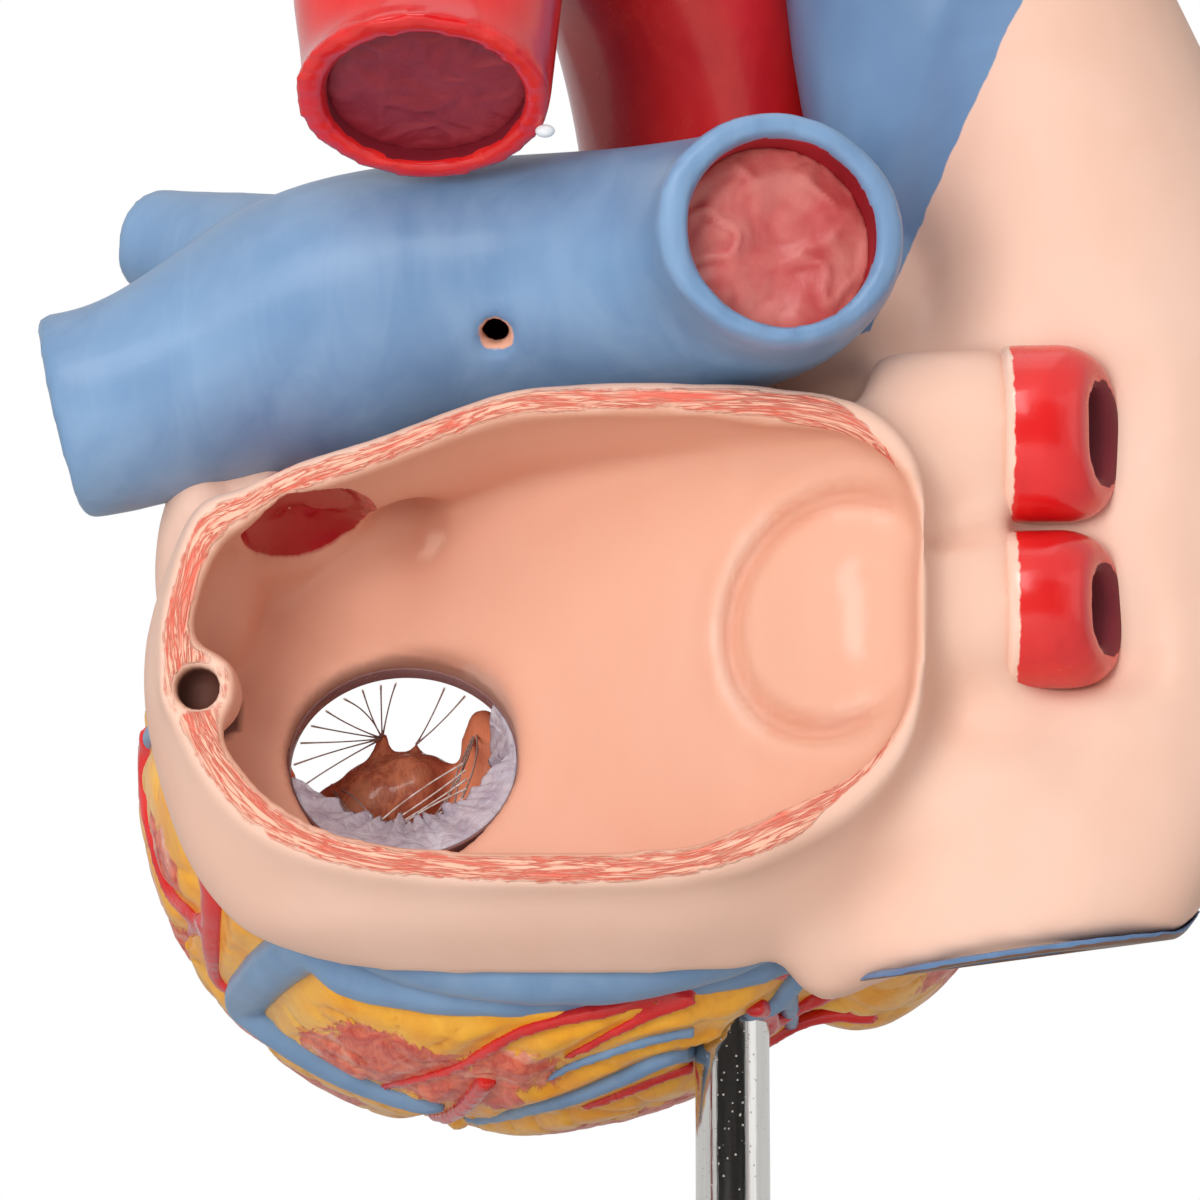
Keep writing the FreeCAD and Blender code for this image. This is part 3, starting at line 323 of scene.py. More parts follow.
# cut muscle: strands that run along a cut face, cross and part again
muscleStrands, entry, leave = newGroup("muscleStrands", [("Along", "NodeSocketFloat", 0.0),
                                                         ("Across", "NodeSocketFloat", 0.0),
                                                         ("Length", "NodeSocketFloat", 0.045),
                                                         ("Width", "NodeSocketFloat", 0.55)],
                                       ["Strand", "Height"])
lie = muscleStrands.nodes.new("ShaderNodeCombineXYZ")
feed(muscleStrands, lie.inputs[0], calc(muscleStrands, "MULTIPLY", entry["Along"], entry["Length"]))
feed(muscleStrands, lie.inputs[1], calc(muscleStrands, "MULTIPLY", entry["Across"], entry["Width"]))
coarse = clouds(muscleStrands, lie.outputs[0], 1.0, 2.0, 0.5, 0.9)
fine = clouds(muscleStrands, lie.outputs[0], 2.7, 3.0, 0.6, 0.5)
ridge = calc(muscleStrands, "ABSOLUTE", calc(muscleStrands, "SUBTRACT", coarse, 0.5))
thread = calc(muscleStrands, "ABSOLUTE", calc(muscleStrands, "SUBTRACT", fine, 0.5))
both = calc(muscleStrands, "MINIMUM", spread(muscleStrands, ridge, 0.0, 0.05),
            spread(muscleStrands, thread, 0.0, 0.07))
feed(muscleStrands, leave["Strand"], calc(muscleStrands, "SUBTRACT", 1.0, both, clamp=True))
feed(muscleStrands, leave["Height"], both)


def newPaint(name):
    paint = bpy.data.materials.new(name)
    paint.use_nodes = True
    tree = paint.node_tree
    place = tree.nodes.new("ShaderNodeTexCoord").outputs["Object"]
    return paint, tree, tree.nodes["Principled BSDF"].inputs, place


def coat(piece, paint):
    piece.data.materials.clear()
    piece.data.materials.append(paint)


print("tools and shared effects ready")


# paints
chart = {"beige": shade(238, 198, 178), "beigeWarm": shade(228, 178, 154), "inside": shade(228, 170, 144),
         "insideDeep": shade(190, 120, 94), "cutPale": shade(246, 182, 156), "cutRed": shade(226, 100, 80),
         "blue": shade(116, 150, 188), "blueDark": shade(92, 122, 160), "blueLight": shade(142, 170, 200),
         "red": shade(222, 24, 28), "redDark": shade(168, 8, 18), "redLight": shade(236, 58, 46),
         "maroon": shade(132, 28, 42), "maroonDark": shade(92, 14, 28), "wall": shade(196, 30, 44),
         "fat": shade(248, 170, 26), "fatPale": shade(252, 192, 70), "fatDeep": shade(220, 116, 18),
         "muscle": shade(236, 114, 84), "muscleDeep": shade(204, 66, 48),
         "ringDark": shade(104, 66, 56), "orifice": shade(176, 8, 26),
         "papillary": shade(238, 146, 108), "papillaryDeep": shade(168, 74, 52),
         "papillaryPale": shade(236, 164, 126)}


def makeAtriaPaint():
    paint, tree, shader, place = newPaint("atria_paint")
    tone = useGroup(tree, handPaint, Coordinates=place, Patches=26.0, Streaks=150.0)
    outside = mixed(tree, calc(tree, "MULTIPLY", tone["Tone"], 0.55), chart["beige"], chart["beigeWarm"])
    inside = mixed(tree, calc(tree, "MULTIPLY", tone["Streak"], 0.25), chart["inside"], chart["beigeWarm"])
    colour = mixed(tree, marked(tree, "inside"), outside, inside)
    # painted shade: grooves and hollows are darkened towards the deep inside colour
    colour = mixed(tree, calc(tree, "MULTIPLY", spread(tree, marked(tree, "hollow"), 0.03, 0.6), 0.35),
                   colour, chart["insideDeep"])
    colour = mixed(tree, marked(tree, "softShade"), colour, chart["insideDeep"])
    colour = mixed(tree, marked(tree, "ringShade"), colour, chart["ringDark"])
    strands = useGroup(tree, muscleStrands, Along=marked(tree, "along"), Across=marked(tree, "across"))
    cut = mixed(tree, strands["Strand"], chart["cutPale"], chart["cutRed"])
    onCut = useGroup(tree, paintEdge, Field=marked(tree, "cutField"), Coordinates=place,
                     Waver=0.22, Size=420.0)["Mask"]
    onBlue = useGroup(tree, paintEdge, Field=marked(tree, "blueField"), Coordinates=place, Waver=0.6,
                      Size=90.0)["Mask"]
    onRed = useGroup(tree, paintEdge, Field=marked(tree, "redField"), Coordinates=place, Size=160.0,
                     Waver=between(tree, marked(tree, "inside"), 0.4, 0.1))["Mask"]
    blue = mixed(tree, tone["Tone"], chart["blue"], chart["blueDark"])
    red = mixed(tree, calc(tree, "MULTIPLY", tone["Tone"], 0.5), chart["red"], chart["redDark"])
    red = mixed(tree, marked(tree, "inside"), red, chart["orifice"])
    colour = mixed(tree, onCut, colour, cut)
    colour = mixed(tree, onBlue, colour, blue)
    colour = mixed(tree, onRed, colour, red)
    feed(tree, shader["Base Color"], colour)
    rough = between(tree, tone["Streak"], between(tree, marked(tree, "inside"), 0.46, 0.58), 0.6)
    rough = between(tree, onBlue, rough, 0.36)
    feed(tree, shader["Roughness"], between(tree, onRed, rough, 0.2))
    strandHeight = calc(tree, "MULTIPLY", strands["Height"], onCut)
    normal = relief(tree, tone["Height"], 0.25, 0.00018)
    feed(tree, shader["Normal"], relief(tree, strandHeight, 0.6, 0.0006, normal))
    return paint


def makeVesselPaint(name, base, dark, light, lumen, roughness, glow, bareAndShade):
    paint, tree, shader, place = newPaint(name)
    tone = useGroup(tree, handPaint, Coordinates=place, Patches=34.0, Streaks=120.0)
    colour = mixed(tree, calc(tree, "MULTIPLY", tone["Tone"], 0.5), base, dark)
    colour = mixed(tree, calc(tree, "MULTIPLY", tone["Streak"], 0.35), colour, light)
    # painted shade: grooves of the vessels are darkened towards the dark colour
    colour = mixed(tree, calc(tree, "MULTIPLY", spread(tree, marked(tree, "hollow"), 0.05, 0.6), 0.5),
                   colour, dark)
    bore = useGroup(tree, paintEdge, Field=marked(tree, "boreField"), Coordinates=place, Waver=0.25,
                    Size=300.0)["Mask"]
    deep = mixed(tree, calc(tree, "MULTIPLY", tone["Tone"], 0.6), lumen, chart["maroonDark"])
    colour = mixed(tree, bore, colour, deep)
    # bare colour for unpainted faces; on the lower cava rim it is painted shade on the faces that look down
    onBareAndShade = useGroup(tree, paintEdge, Field=marked(tree, "bareAndShadeField"), Coordinates=place, Waver=0.3,
                    Size=500.0)["Mask"]
    colour = mixed(tree, onBareAndShade, colour, bareAndShade)
    feed(tree, shader["Base Color"], colour)
    gloss = between(tree, tone["Streak"], roughness, roughness + 0.08)
    feed(tree, shader["Roughness"], between(tree, bore, gloss, 0.7))
    feed(tree, shader["Coat Weight"], between(tree, bore, glow, 0.0))
    shader["Coat Roughness"].default_value = 0.12
    feed(tree, shader["Normal"], relief(tree, tone["Height"], 0.3, 0.0002))
    return paint


def makeHeartPaint():
    paint, tree, shader, place = newPaint("heart_paint")
    tone = useGroup(tree, handPaint, Coordinates=place, Patches=60.0, Streaks=260.0)
    fat = mixed(tree, tone["Tone"], chart["fat"], chart["fatPale"])
    fat = mixed(tree, calc(tree, "MULTIPLY", tone["Streak"], 0.35), fat, chart["fatDeep"])
    strand = clouds(tree, stretched(tree, place, (1, 0.35, 1), (0.4, 0.2, 0.5)), 420.0, 3.0, 0.6, 0.8)
    blotch = clouds(tree, place, 130.0, 3.0, 0.6, 0.5)
    muscle = mixed(tree, spread(tree, strand, 0.4, 0.62), chart["muscle"], chart["muscleDeep"])
    muscle = mixed(tree, spread(tree, blotch, 0.5, 0.72), muscle, chart["cutPale"])
    brushed = clouds(tree, stretched(tree, place, (1, 0.4, 1), (0.2, 0.4, 0.9)), 300.0, 4.0, 0.65, 1.0)
    brushed = spread(tree, brushed, 0.3, 0.7, -2.6, 2.6)
    share = calc(tree, "DIVIDE", calc(tree, "ADD", marked(tree, "fatField"), brushed), 1.2)
    share = calc(tree, "ADD", share, 0.5, clamp=True)
    colour = mixed(tree, share, muscle, fat)
    # painted shade: creases between the fat lobes are darkened towards the deep fat colour
    colour = mixed(tree, calc(tree, "MULTIPLY", spread(tree, marked(tree, "hollow"), 0.04, 0.4), 0.6), colour,
                   chart["fatDeep"])
    strands = useGroup(tree, muscleStrands, Along=marked(tree, "along"), Across=marked(tree, "across"))
    cut = mixed(tree, strands["Strand"], chart["cutPale"], chart["cutRed"])
    onCut = useGroup(tree, paintEdge, Field=marked(tree, "cutField"), Coordinates=place, Waver=0.22,
                     Size=420.0)["Mask"]
    onLining = useGroup(tree, paintEdge, Field=marked(tree, "liningField"), Coordinates=place,
                        Waver=0.5)["Mask"]
    lining = mixed(tree, blotch, chart["inside"], chart["muscle"])
    colour = mixed(tree, onLining, colour, lining)
    colour = mixed(tree, onCut, colour, cut)
    feed(tree, shader["Base Color"], colour)
    feed(tree, shader["Roughness"], between(tree, share, 0.34, 0.3))
    shader["Coat Weight"].default_value = 0.15
    shader["Coat Roughness"].default_value = 0.18
    rough = calc(tree, "MULTIPLY", strand, calc(tree, "SUBTRACT", 1.0, share))
    normal = relief(tree, rough, 0.5, 0.0009)
    normal = relief(tree, calc(tree, "MULTIPLY", strands["Height"], onCut), 0.6, 0.0006, normal)
    feed(tree, shader["Normal"], relief(tree, tone["Height"], 0.4, 0.0003, normal))
    return paint


def makePapillaryPaint():
    paint, tree, shader, place = newPaint("papillary_paint")
    tone = useGroup(tree, handPaint, Coordinates=place, Patches=110.0, Streaks=320.0)
    mottle = clouds(tree, stretched(tree, place, (1, 1, 0.5)), 520.0, 4.0, 0.65, 1.2)
    colour = mixed(tree, calc(tree, "MULTIPLY", spread(tree, mottle, 0.42, 0.6), 0.6), chart["papillary"],
                   chart["papillaryDeep"])
    colour = mixed(tree, calc(tree, "MULTIPLY", spread(tree, tone["Tone"], 0.5, 1.0), 0.7), colour,
                   chart["papillaryPale"])
    # painted shade on one side of a muscle, then painted light on its pale parts
    colour = mixed(tree, calc(tree, "MULTIPLY", marked(tree, "paintedShadeSide"), 0.8), colour,
                   chart["papillaryDeep"])
    colour = mixed(tree, marked(tree, "pale"), colour, shade(250, 150, 110))
    feed(tree, shader["Base Color"], colour)
    feed(tree, shader["Roughness"], between(tree, tone["Streak"], 0.22, 0.34))
    shader["Coat Weight"].default_value = 0.6
    shader["Coat Roughness"].default_value = 0.08
    feed(tree, shader["Normal"], relief(tree, mottle, 0.35, 0.0006,
                                        relief(tree, tone["Height"], 0.3, 0.0002)))
    return paint


def makeDiscPaint(name, base, pale, deep):  # the painted discs set into the cut vessels
    paint, tree, shader, place = newPaint(name)
    tone = useGroup(tree, handPaint, Coordinates=place, Patches=90.0, Streaks=240.0)
    colour = mixed(tree, tone["Tone"], base, pale)
    # painted shade in the folds of the disc and painted highlight on its ridges
    colour = mixed(tree, spread(tree, marked(tree, "hollow"), 0.0, 0.22), colour, deep)
    colour = mixed(tree, calc(tree, "MULTIPLY", spread(tree, marked(tree, "hollow"), 0.0, -0.2), 0.5),
                   colour, pale)
    feed(tree, shader["Base Color"], colour)
    feed(tree, shader["Roughness"], between(tree, tone["Streak"], 0.4, 0.52))
    shader["Coat Weight"].default_value = 0.12
    shader["Coat Roughness"].default_value = 0.25
    feed(tree, shader["Normal"], relief(tree, tone["Height"], 0.5, 0.0004))
    return paint


def makeLeafletPaint():
    paint, tree, shader, place = newPaint("leaflet_film")
    veins = cells(tree, stretched(tree, place, (1, 1, 0.45)), 420.0)
    cloudy = clouds(tree, place, 320.0, 4.0, 0.6, 0.6)
    colour = mixed(tree, spread(tree, cloudy, 0.35, 0.65), shade(222, 218, 228), shade(178, 168, 184))
    # the bright lines of the cell pattern are painted glints on the film
    colour = mixed(tree, spread(tree, veins, 0.0, 0.16, 0.8, 0.0), colour, shade(246, 244, 250))
    feed(tree, shader["Base Color"], colour)
    feed(tree, shader["Alpha"], spread(tree, cloudy, 0.3, 0.7, 0.66, 0.94))
    feed(tree, shader["Roughness"], spread(tree, cloudy, 0.3, 0.7, 0.14, 0.3))
    feed(tree, shader["Normal"], relief(tree, cloudy, 0.9, 0.001))
    return paint


def makeThreadPaint():
    paint, tree, shader, place = newPaint("chorda_thread")
    twist = clouds(tree, place, 900.0, 3.0, 0.6)
    colour = mixed(tree, spread(tree, twist, 0.35, 0.65), shade(178, 150, 136), shade(216, 206, 202))
    feed(tree, shader["Base Color"], colour)
    feed(tree, shader["Roughness"], spread(tree, twist, 0.3, 0.7, 0.35, 0.6))
    feed(tree, shader["Normal"], relief(tree, twist, 0.4, 0.0001))
    return paint


def makeMetal(name, base, dark, roughness, speck):
    paint, tree, shader, place = newPaint(name)
    drawn = clouds(tree, stretched(tree, place, (1, 1, 0.03)), 2200.0, 3.0, 0.6)
    pits = cells(tree, place, 900.0)
    pit = spread(tree, pits, speck, speck * 0.5)
    toned = calc(tree, "MULTIPLY", spread(tree, drawn, 0.35, 0.65), 0.3)
    feed(tree, shader["Base Color"], mixed(tree, toned, base, dark))
    feed(tree, shader["Metallic"], calc(tree, "SUBTRACT", 1.0, calc(tree, "MULTIPLY", pit, 0.15)))
    gloss = spread(tree, drawn, 0.3, 0.7, roughness, roughness + 0.06)
    feed(tree, shader["Roughness"], calc(tree, "MULTIPLY_ADD", pit, 0.35, gloss))
    height = calc(tree, "MULTIPLY_ADD", pit, 0.6, calc(tree, "MULTIPLY", drawn, 0.3))
    feed(tree, shader["Normal"], relief(tree, height, 0.35, 0.0002))
    return paint


def makePlain(name, base, dark, roughness, scale, depth):
    paint, tree, shader, place = newPaint(name)
    tone = useGroup(tree, handPaint, Coordinates=place, Patches=20.0, Streaks=scale * 0.3, Grain=scale)
    feed(tree, shader["Base Color"], mixed(tree, tone["Tone"], base, dark))
    feed(tree, shader["Roughness"], between(tree, tone["Streak"], roughness, roughness + 0.1))
    feed(tree, shader["Normal"], relief(tree, tone["Height"], 0.5, depth))
    return paint


atriaPaint = makeAtriaPaint()
bluePaint = makeVesselPaint("vessel_blue_paint", chart["blue"], chart["blueDark"], chart["blueLight"],
                            chart["wall"], 0.34, 0.1, chart["inside"])
redPaint = makeVesselPaint("vessel_red_paint", chart["red"], chart["redDark"], chart["redLight"],
                           chart["maroon"], 0.2, 0.45, chart["beige"])
# the lower cava rim's dark brown for its downward faces is painted shade
rimPaint = makeVesselPaint("cava_rim_paint", chart["blueDark"], shade(70, 100, 146), chart["blue"],
                           chart["wall"], 0.36, 0.1, shade(118, 82, 62))
heartPaint = makeHeartPaint()
papillaryPaint = makePapillaryPaint()
pinkDisc = makeDiscPaint("pink_disc_paint", shade(190, 76, 76), shade(206, 122, 114), shade(160, 20, 32))
darkDisc = makeDiscPaint("dark_disc_paint", chart["maroon"], shade(150, 46, 56), chart["maroonDark"])
leafletFilm = makeLeafletPaint()
threadPaint = makeThreadPaint()
ringPaint = makePlain("valve_ring_paint", shade(118, 72, 64), shade(150, 118, 118), 0.2, 900.0, 0.0001)
glueClear = makePlain("glue_clear_finish", shade(214, 220, 226), shade(236, 238, 240), 0.12, 900.0, 0.0001)
chrome = makeMetal("post_chrome_finish", shade(232, 230, 226), shade(206, 204, 202), 0.07, 0.16)
aluminium = makeMetal("sleeve_finish", shade(200, 202, 204), shade(170, 172, 174), 0.3, 0.05)
steel = makeMetal("plated_steel_finish", shade(196, 194, 190), shade(150, 148, 146), 0.22, 0.08)
rubber = makePlain("pad_rubber_finish", shade(34, 34, 36), shade(46, 46, 48), 0.7, 2500.0, 0.0002)
basePlastic = makePlain("base_plastic_finish", shade(226, 224, 218), shade(214, 212, 206), 0.42, 1800.0,
                        0.00015)
print("paints mixed")


# both atria and the upper vena cava, one moulding; lengths in mm, voxel in m
atria = {"voxel": 0.0013, "smooth": 5, "rim": (30, 150), "reach": (57, 58, 35, 37),
         "powers": (1.8, 5, 3, 2.7),
         "rimPlane": 61.2, "drop": 3.6, "corner": (85, 11, 4.6), "sag": (55, 25, 3.3),
         "fossa": (-14.4, 152.1), "fossaHalf": (13.8, 16), "fossaGroove": 3.2, "closing": 3.6,
         "leftMiddle": (30, 40, 148), "rightMiddle": (-58, -8, 185), "rightReach": (46, 48, 92),
         "blueLine": (205, -23.5, -0.455), "cavaPlane": (101, -42, -0.1333), "cavaSwell": 3.6,
         "baseLean": 0.062, "baseDrop": 1.4, "rimHeight": 2.5, "rimSquash": 0.5, "cornerRise": 10,
         "clay": [((-40, 33, 122), (24, 20, 19)), ((83.5, 24, 162), (8.6, 15, 17)),
                  ((-19, 17, 202), (19, 14, 19)), ((-14, 30, 108), (10, 13, 9.5)),
                  ((-63, 32, 167), (12, 9.5, 30))],
         "leftVein": ((66, 32, 174.6), (0.775, -0.632, -0.02)),
         "pocket": {"middle": (67.4, 39.8, 169.2), "long": (0.1, 0.994, 0.05), "wide": (0.86, -0.06, -0.5),
                    "half": (21, 10.6), "depth": 4.2},
         "mitral": (52.3, 22.2, 133.5), "mitralShift": 2.6, "valley": (166.3, -43, -0.3, 1.4),
         "pegHole": ((197, 686), 3.5, 9), "cover": ((-98, -6), (-0.358368, -0.93358))}


def rimShare(x, z):  # 1 on the rim's outline, 0 in its middle
    dx, dz = x - atria["rim"][0], z - atria["rim"][1]
    left, right, up, down = atria["reach"]
    a = np.where(dx > 0, left, right)
    b = np.where(dz > 0, up, down)
    p = np.select([(dx > 0) & (dz > 0), (dx <= 0) & (dz > 0), (dx <= 0) & (dz <= 0)],
                  [atria["powers"][0], atria["powers"][1], atria["powers"][2]], atria["powers"][3])
    return ((np.abs(dx) / a) ** p + (np.abs(dz) / b) ** p) ** (1 / p)


def rimPlace(x, z):  # way along the rim and way in from its outline, mm
    share = rimShare(x, z)
    slopeX, slopeZ = rimShare(x + 0.2, z) - rimShare(x - 0.2, z), rimShare(x, z + 0.2) - rimShare(x, z - 0.2)
    slope = np.hypot(slopeX, slopeZ) / 0.4
    around = np.arctan2((z - atria["rim"][1]) * 1.5, x - atria["rim"][0])
    return around * 48, (1 - share) / np.maximum(slope, 0.004)


def ball(middle, reach, name="clay"):  # an egg of clay, mm
    pick()
    bpy.ops.mesh.primitive_uv_sphere_add(segments=48, ring_count=24, radius=0.001, scale=reach,
                                         location=[v / 1000 for v in middle])
    bpy.ops.object.transform_apply(location=True, rotation=True, scale=True)
    bpy.context.object.name = name
    return bpy.context.object


def peg(middle, radius, depth, way=(0, 1, 0)):  # a round bar, mm
    pick()
    bpy.ops.mesh.primitive_cylinder_add(vertices=48, radius=radius / 1000, depth=depth / 1000,
                                        location=[v / 1000 for v in middle],
                                        rotation=Vector(way).to_track_quat("Z", "Y").to_euler())
    bpy.ops.object.transform_apply(location=True, rotation=True, scale=True)
    bpy.context.object.name = "peg"
    return bpy.context.object


def carve(piece, cutter):
    finishWith(piece, "BOOLEAN", operation="DIFFERENCE", solver="EXACT", object=cutter)
    bpy.data.objects.remove(cutter)


def leanBase(places, plate=False):  # the foot of the right atrium rises a little towards the front
    level, start, rise = atria["cavaPlane"]
    over = places[:, 2] - (level + rise * (places[:, 0] - start))
    share = ramp(over, 18, 2.5) * ramp(places[:, 0], -4, -14)
    thinner = over * atria["rimSquash"] if plate else atria["rimHeight"] * atria["rimSquash"]
    rise = np.clip(44 - places[:, 1], 0, 60) * atria["baseLean"]
    corner = ramp(places[:, 0], -66, -82) * atria["cornerRise"]
    places[:, 2] += (rise - atria["baseDrop"] - thinner + corner) * share


valves = {"axis": (0, 0.883, 0.469), "rise": (0, -0.469, 0.883), "mitral": (52.3, 23.4, 131.2),
          "tricuspid": (-41, 14.5, 148), "radius": 17.8}


def rimBend(x):  # how far the rim's upper edge is raised at its corner and lowered beside it, mm
    (cornerX, cornerReach, cornerLift), (sagX, sagReach, sag) = atria["corner"], atria["sag"]
    return bump(np.abs(x - cornerX), cornerReach) * cornerLift - bump(np.abs(x - sagX), sagReach) * sag


def shapeRim(places):  # the upper left of the rim runs straighter, with a tighter corner
    x, y, z = places.T
    places[:, 2] += ramp(z, 152, 166) * ramp(y, 14, 34) * rimBend(x)


def swellCava(places):  # the upper vena cava leans against the arch
    x, z = places[:, 0], places[:, 2]
    places[:, 0] += ramp(z, 214, 238) * ramp(x, -30, -14) * (x < -8) * atria["cavaSwell"]


def shiftMitral(places):  # the valve opening sits a little lower in the floor
    axis, rise = np.array(valves["axis"]), np.array(valves["rise"])
    offset = places - np.array(atria["mitral"])
    deep = offset @ axis
    away = np.linalg.norm(offset - deep[:, None] * axis, axis=1)
    share = bump(np.maximum(away - 19.5, 0), 9) * ramp(deep, 16, 8)
    places -= rise * (share * atria["mitralShift"])[:, None]


def dropRim(places):  # the lower left of the left atrium's bowl hangs a little fuller
    share = (ramp(places[:, 2], 136, 116) * ramp(places[:, 2], 97, 110) * ramp(places[:, 0], -12, 12)
             * ramp(places[:, 1], 20, 40))
    places[:, 2] -= share * atria["drop"]


def onRing(side, radius, angle, depth):  # a place round a valve, mm, depth towards the ventricle
    turn = math.radians(angle)
    return (np.array(valves[side]) + np.array((1, 0, 0)) * radius * math.cos(turn)
            + np.array(valves["rise"]) * radius * math.sin(turn) - np.array(valves["axis"]) * depth)


pegSpot = onSight(atria["pegHole"][0], 62)
atriaShell = castOf("atria_shell", "left_atrium", "right_atrium", "superior_vena_cava", "left_pulmonary_vein")
lumps = [ball(middle, reach) for middle, reach in atria["clay"]]
veinStart, veinWay = (np.array(item) for item in atria["leftVein"])
lumps.append(peg(veinStart + veinWay * 9, 8.2, 12, veinWay))
lumps.append(peg((pegSpot[0], 54.5, pegSpot[2]), 6.2, 15))
joinTo(atriaShell, *lumps)
recast(atriaShell, atria["voxel"], 0)


def facesMiddle(places, normals, middle):  # true where a surface looks at a room's middle
    return np.sum(normals * (np.array(middle) - places), axis=1) > 0


def facesLeft(places, normals):  # true on the inner face of the left atrium
    x, y, z = places.T
    room = (x > -27) & (x < 86) & (y < 61.4) & (y > 5) & (z > 108) & (z < 187)
    return facesMiddle(places, normals, atria["leftMiddle"]) & room


def nearValley(places):  # 1 round the necks and folds, outside the rim
    x, y, z = places.T
    return (ramp(x, 12, -2) * ramp(x, -74, -60) * ramp(z, 94, 100) * ramp(z, 208, 200)
            * ramp(y, 4, 12) * ramp(y, 61, 58.5))


# close the narrow folds between the moulded parts: swell, cast again, shrink back
places = spots(atriaShell)
moveTo(atriaShell, places + facing(atriaShell) * (nearValley(places) * atria["closing"])[:, None])
recast(atriaShell, atria["voxel"], 0)
finishWith(atriaShell, "SMOOTH", factor=0.5, iterations=4)
places = spots(atriaShell)
moveTo(atriaShell, places - facing(atriaShell) * (nearValley(places) * atria["closing"])[:, None])
carve(atriaShell, peg((pegSpot[0], 62, pegSpot[2]), atria["pegHole"][1], atria["pegHole"][2] * 2))
recast(atriaShell, atria["voxel"], atria["smooth"])

places, normals = spots(atriaShell), facing(atriaShell)
x, y, z = places.T
inLeft = facesLeft(places, normals) & (rimShare(x, z) < 1.02)
# an oval disc with a groove round three sides of it, on the wall between the atria
ex, ez = (x - atria["fossa"][0]) / atria["fossaHalf"][0], (z - atria["fossa"][1]) / atria["fossaHalf"][1]
ex = ex + 0.12 * ez
ring = np.hypot(ex, ez)
openSide = ramp(ex / np.maximum(ring, 0.01), -0.75, -0.2)
groove = bump(np.abs(ring - 1.13), 0.17) * openSide * atria["fossaGroove"]
lip = bump(np.abs(ring - 1.36), 0.2) * openSide * 0.5
disc = ramp(ring, 1.06, 0.97) * 0.6
places[:, 1] += np.where(inLeft & (x < 14), disc + lip - groove, 0)
# the left vein's mouth is a smooth pocket, with a swelling under it and a dent beside it
pocket = atria["pocket"]


def pocketShare(places):  # 0 in the middle of the vein's mouth, 1 on its edge
    off = places - np.array(pocket["middle"])
    return np.hypot(off @ np.array(pocket["long"]) / pocket["half"][0],
                    off @ np.array(pocket["wide"]) / pocket["half"][1])


out = np.cross(pocket["wide"], pocket["long"])
out = out * np.sign(out[2])
overPocket = np.abs((places - np.array(pocket["middle"])) @ out)
sunk = ramp(pocketShare(places), 1.04, 0.82) * (overPocket < 6) * inLeft
places += out * (sunk * pocket["depth"])[:, None]
swell = bump(np.linalg.norm((places - onSight((325, 585), 18)) / np.array((1.6, 1.6, 1)), axis=1), 9)
dent = bump(np.linalg.norm((places - onSight((402, 506), 26)) / np.array((0.9, 1.6, 1.15)), axis=1), 10)
places += normals * np.where(inLeft, swell * 2.0 - dent * 4.2, 0)[:, None]
inPocket = (pocketShare(places) < 0.9) & (np.abs((places - np.array(pocket["middle"])) @ out) < 12) & (y < 60)
weight = relax(atriaShell, inPocket.astype(float), 3)[:, None]
places = places * (1 - weight) + relax(atriaShell, places, 25) * weight
# a soft valley between the two necks
level, start, slope, depth = atria["valley"]
valley = bump(np.abs(z - level - slope * (x - start)), 3.4) * ramp(x, -24, -31) * ramp(y, 42, 46) * (x > -47)
weight = np.clip(relax(atriaShell, nearValley(places) * ~inLeft, 10), 0, 1)[:, None]
places = places * (1 - weight) + relax(atriaShell, places, 30) * weight
places -= normals * (valley * depth)[:, None]
leanBase(places)
dropRim(places)
shapeRim(places)
shiftMitral(places)
swellCava(places)
moveTo(atriaShell, places)
finishWith(atriaShell, "SMOOTH", factor=0.4, iterations=2)


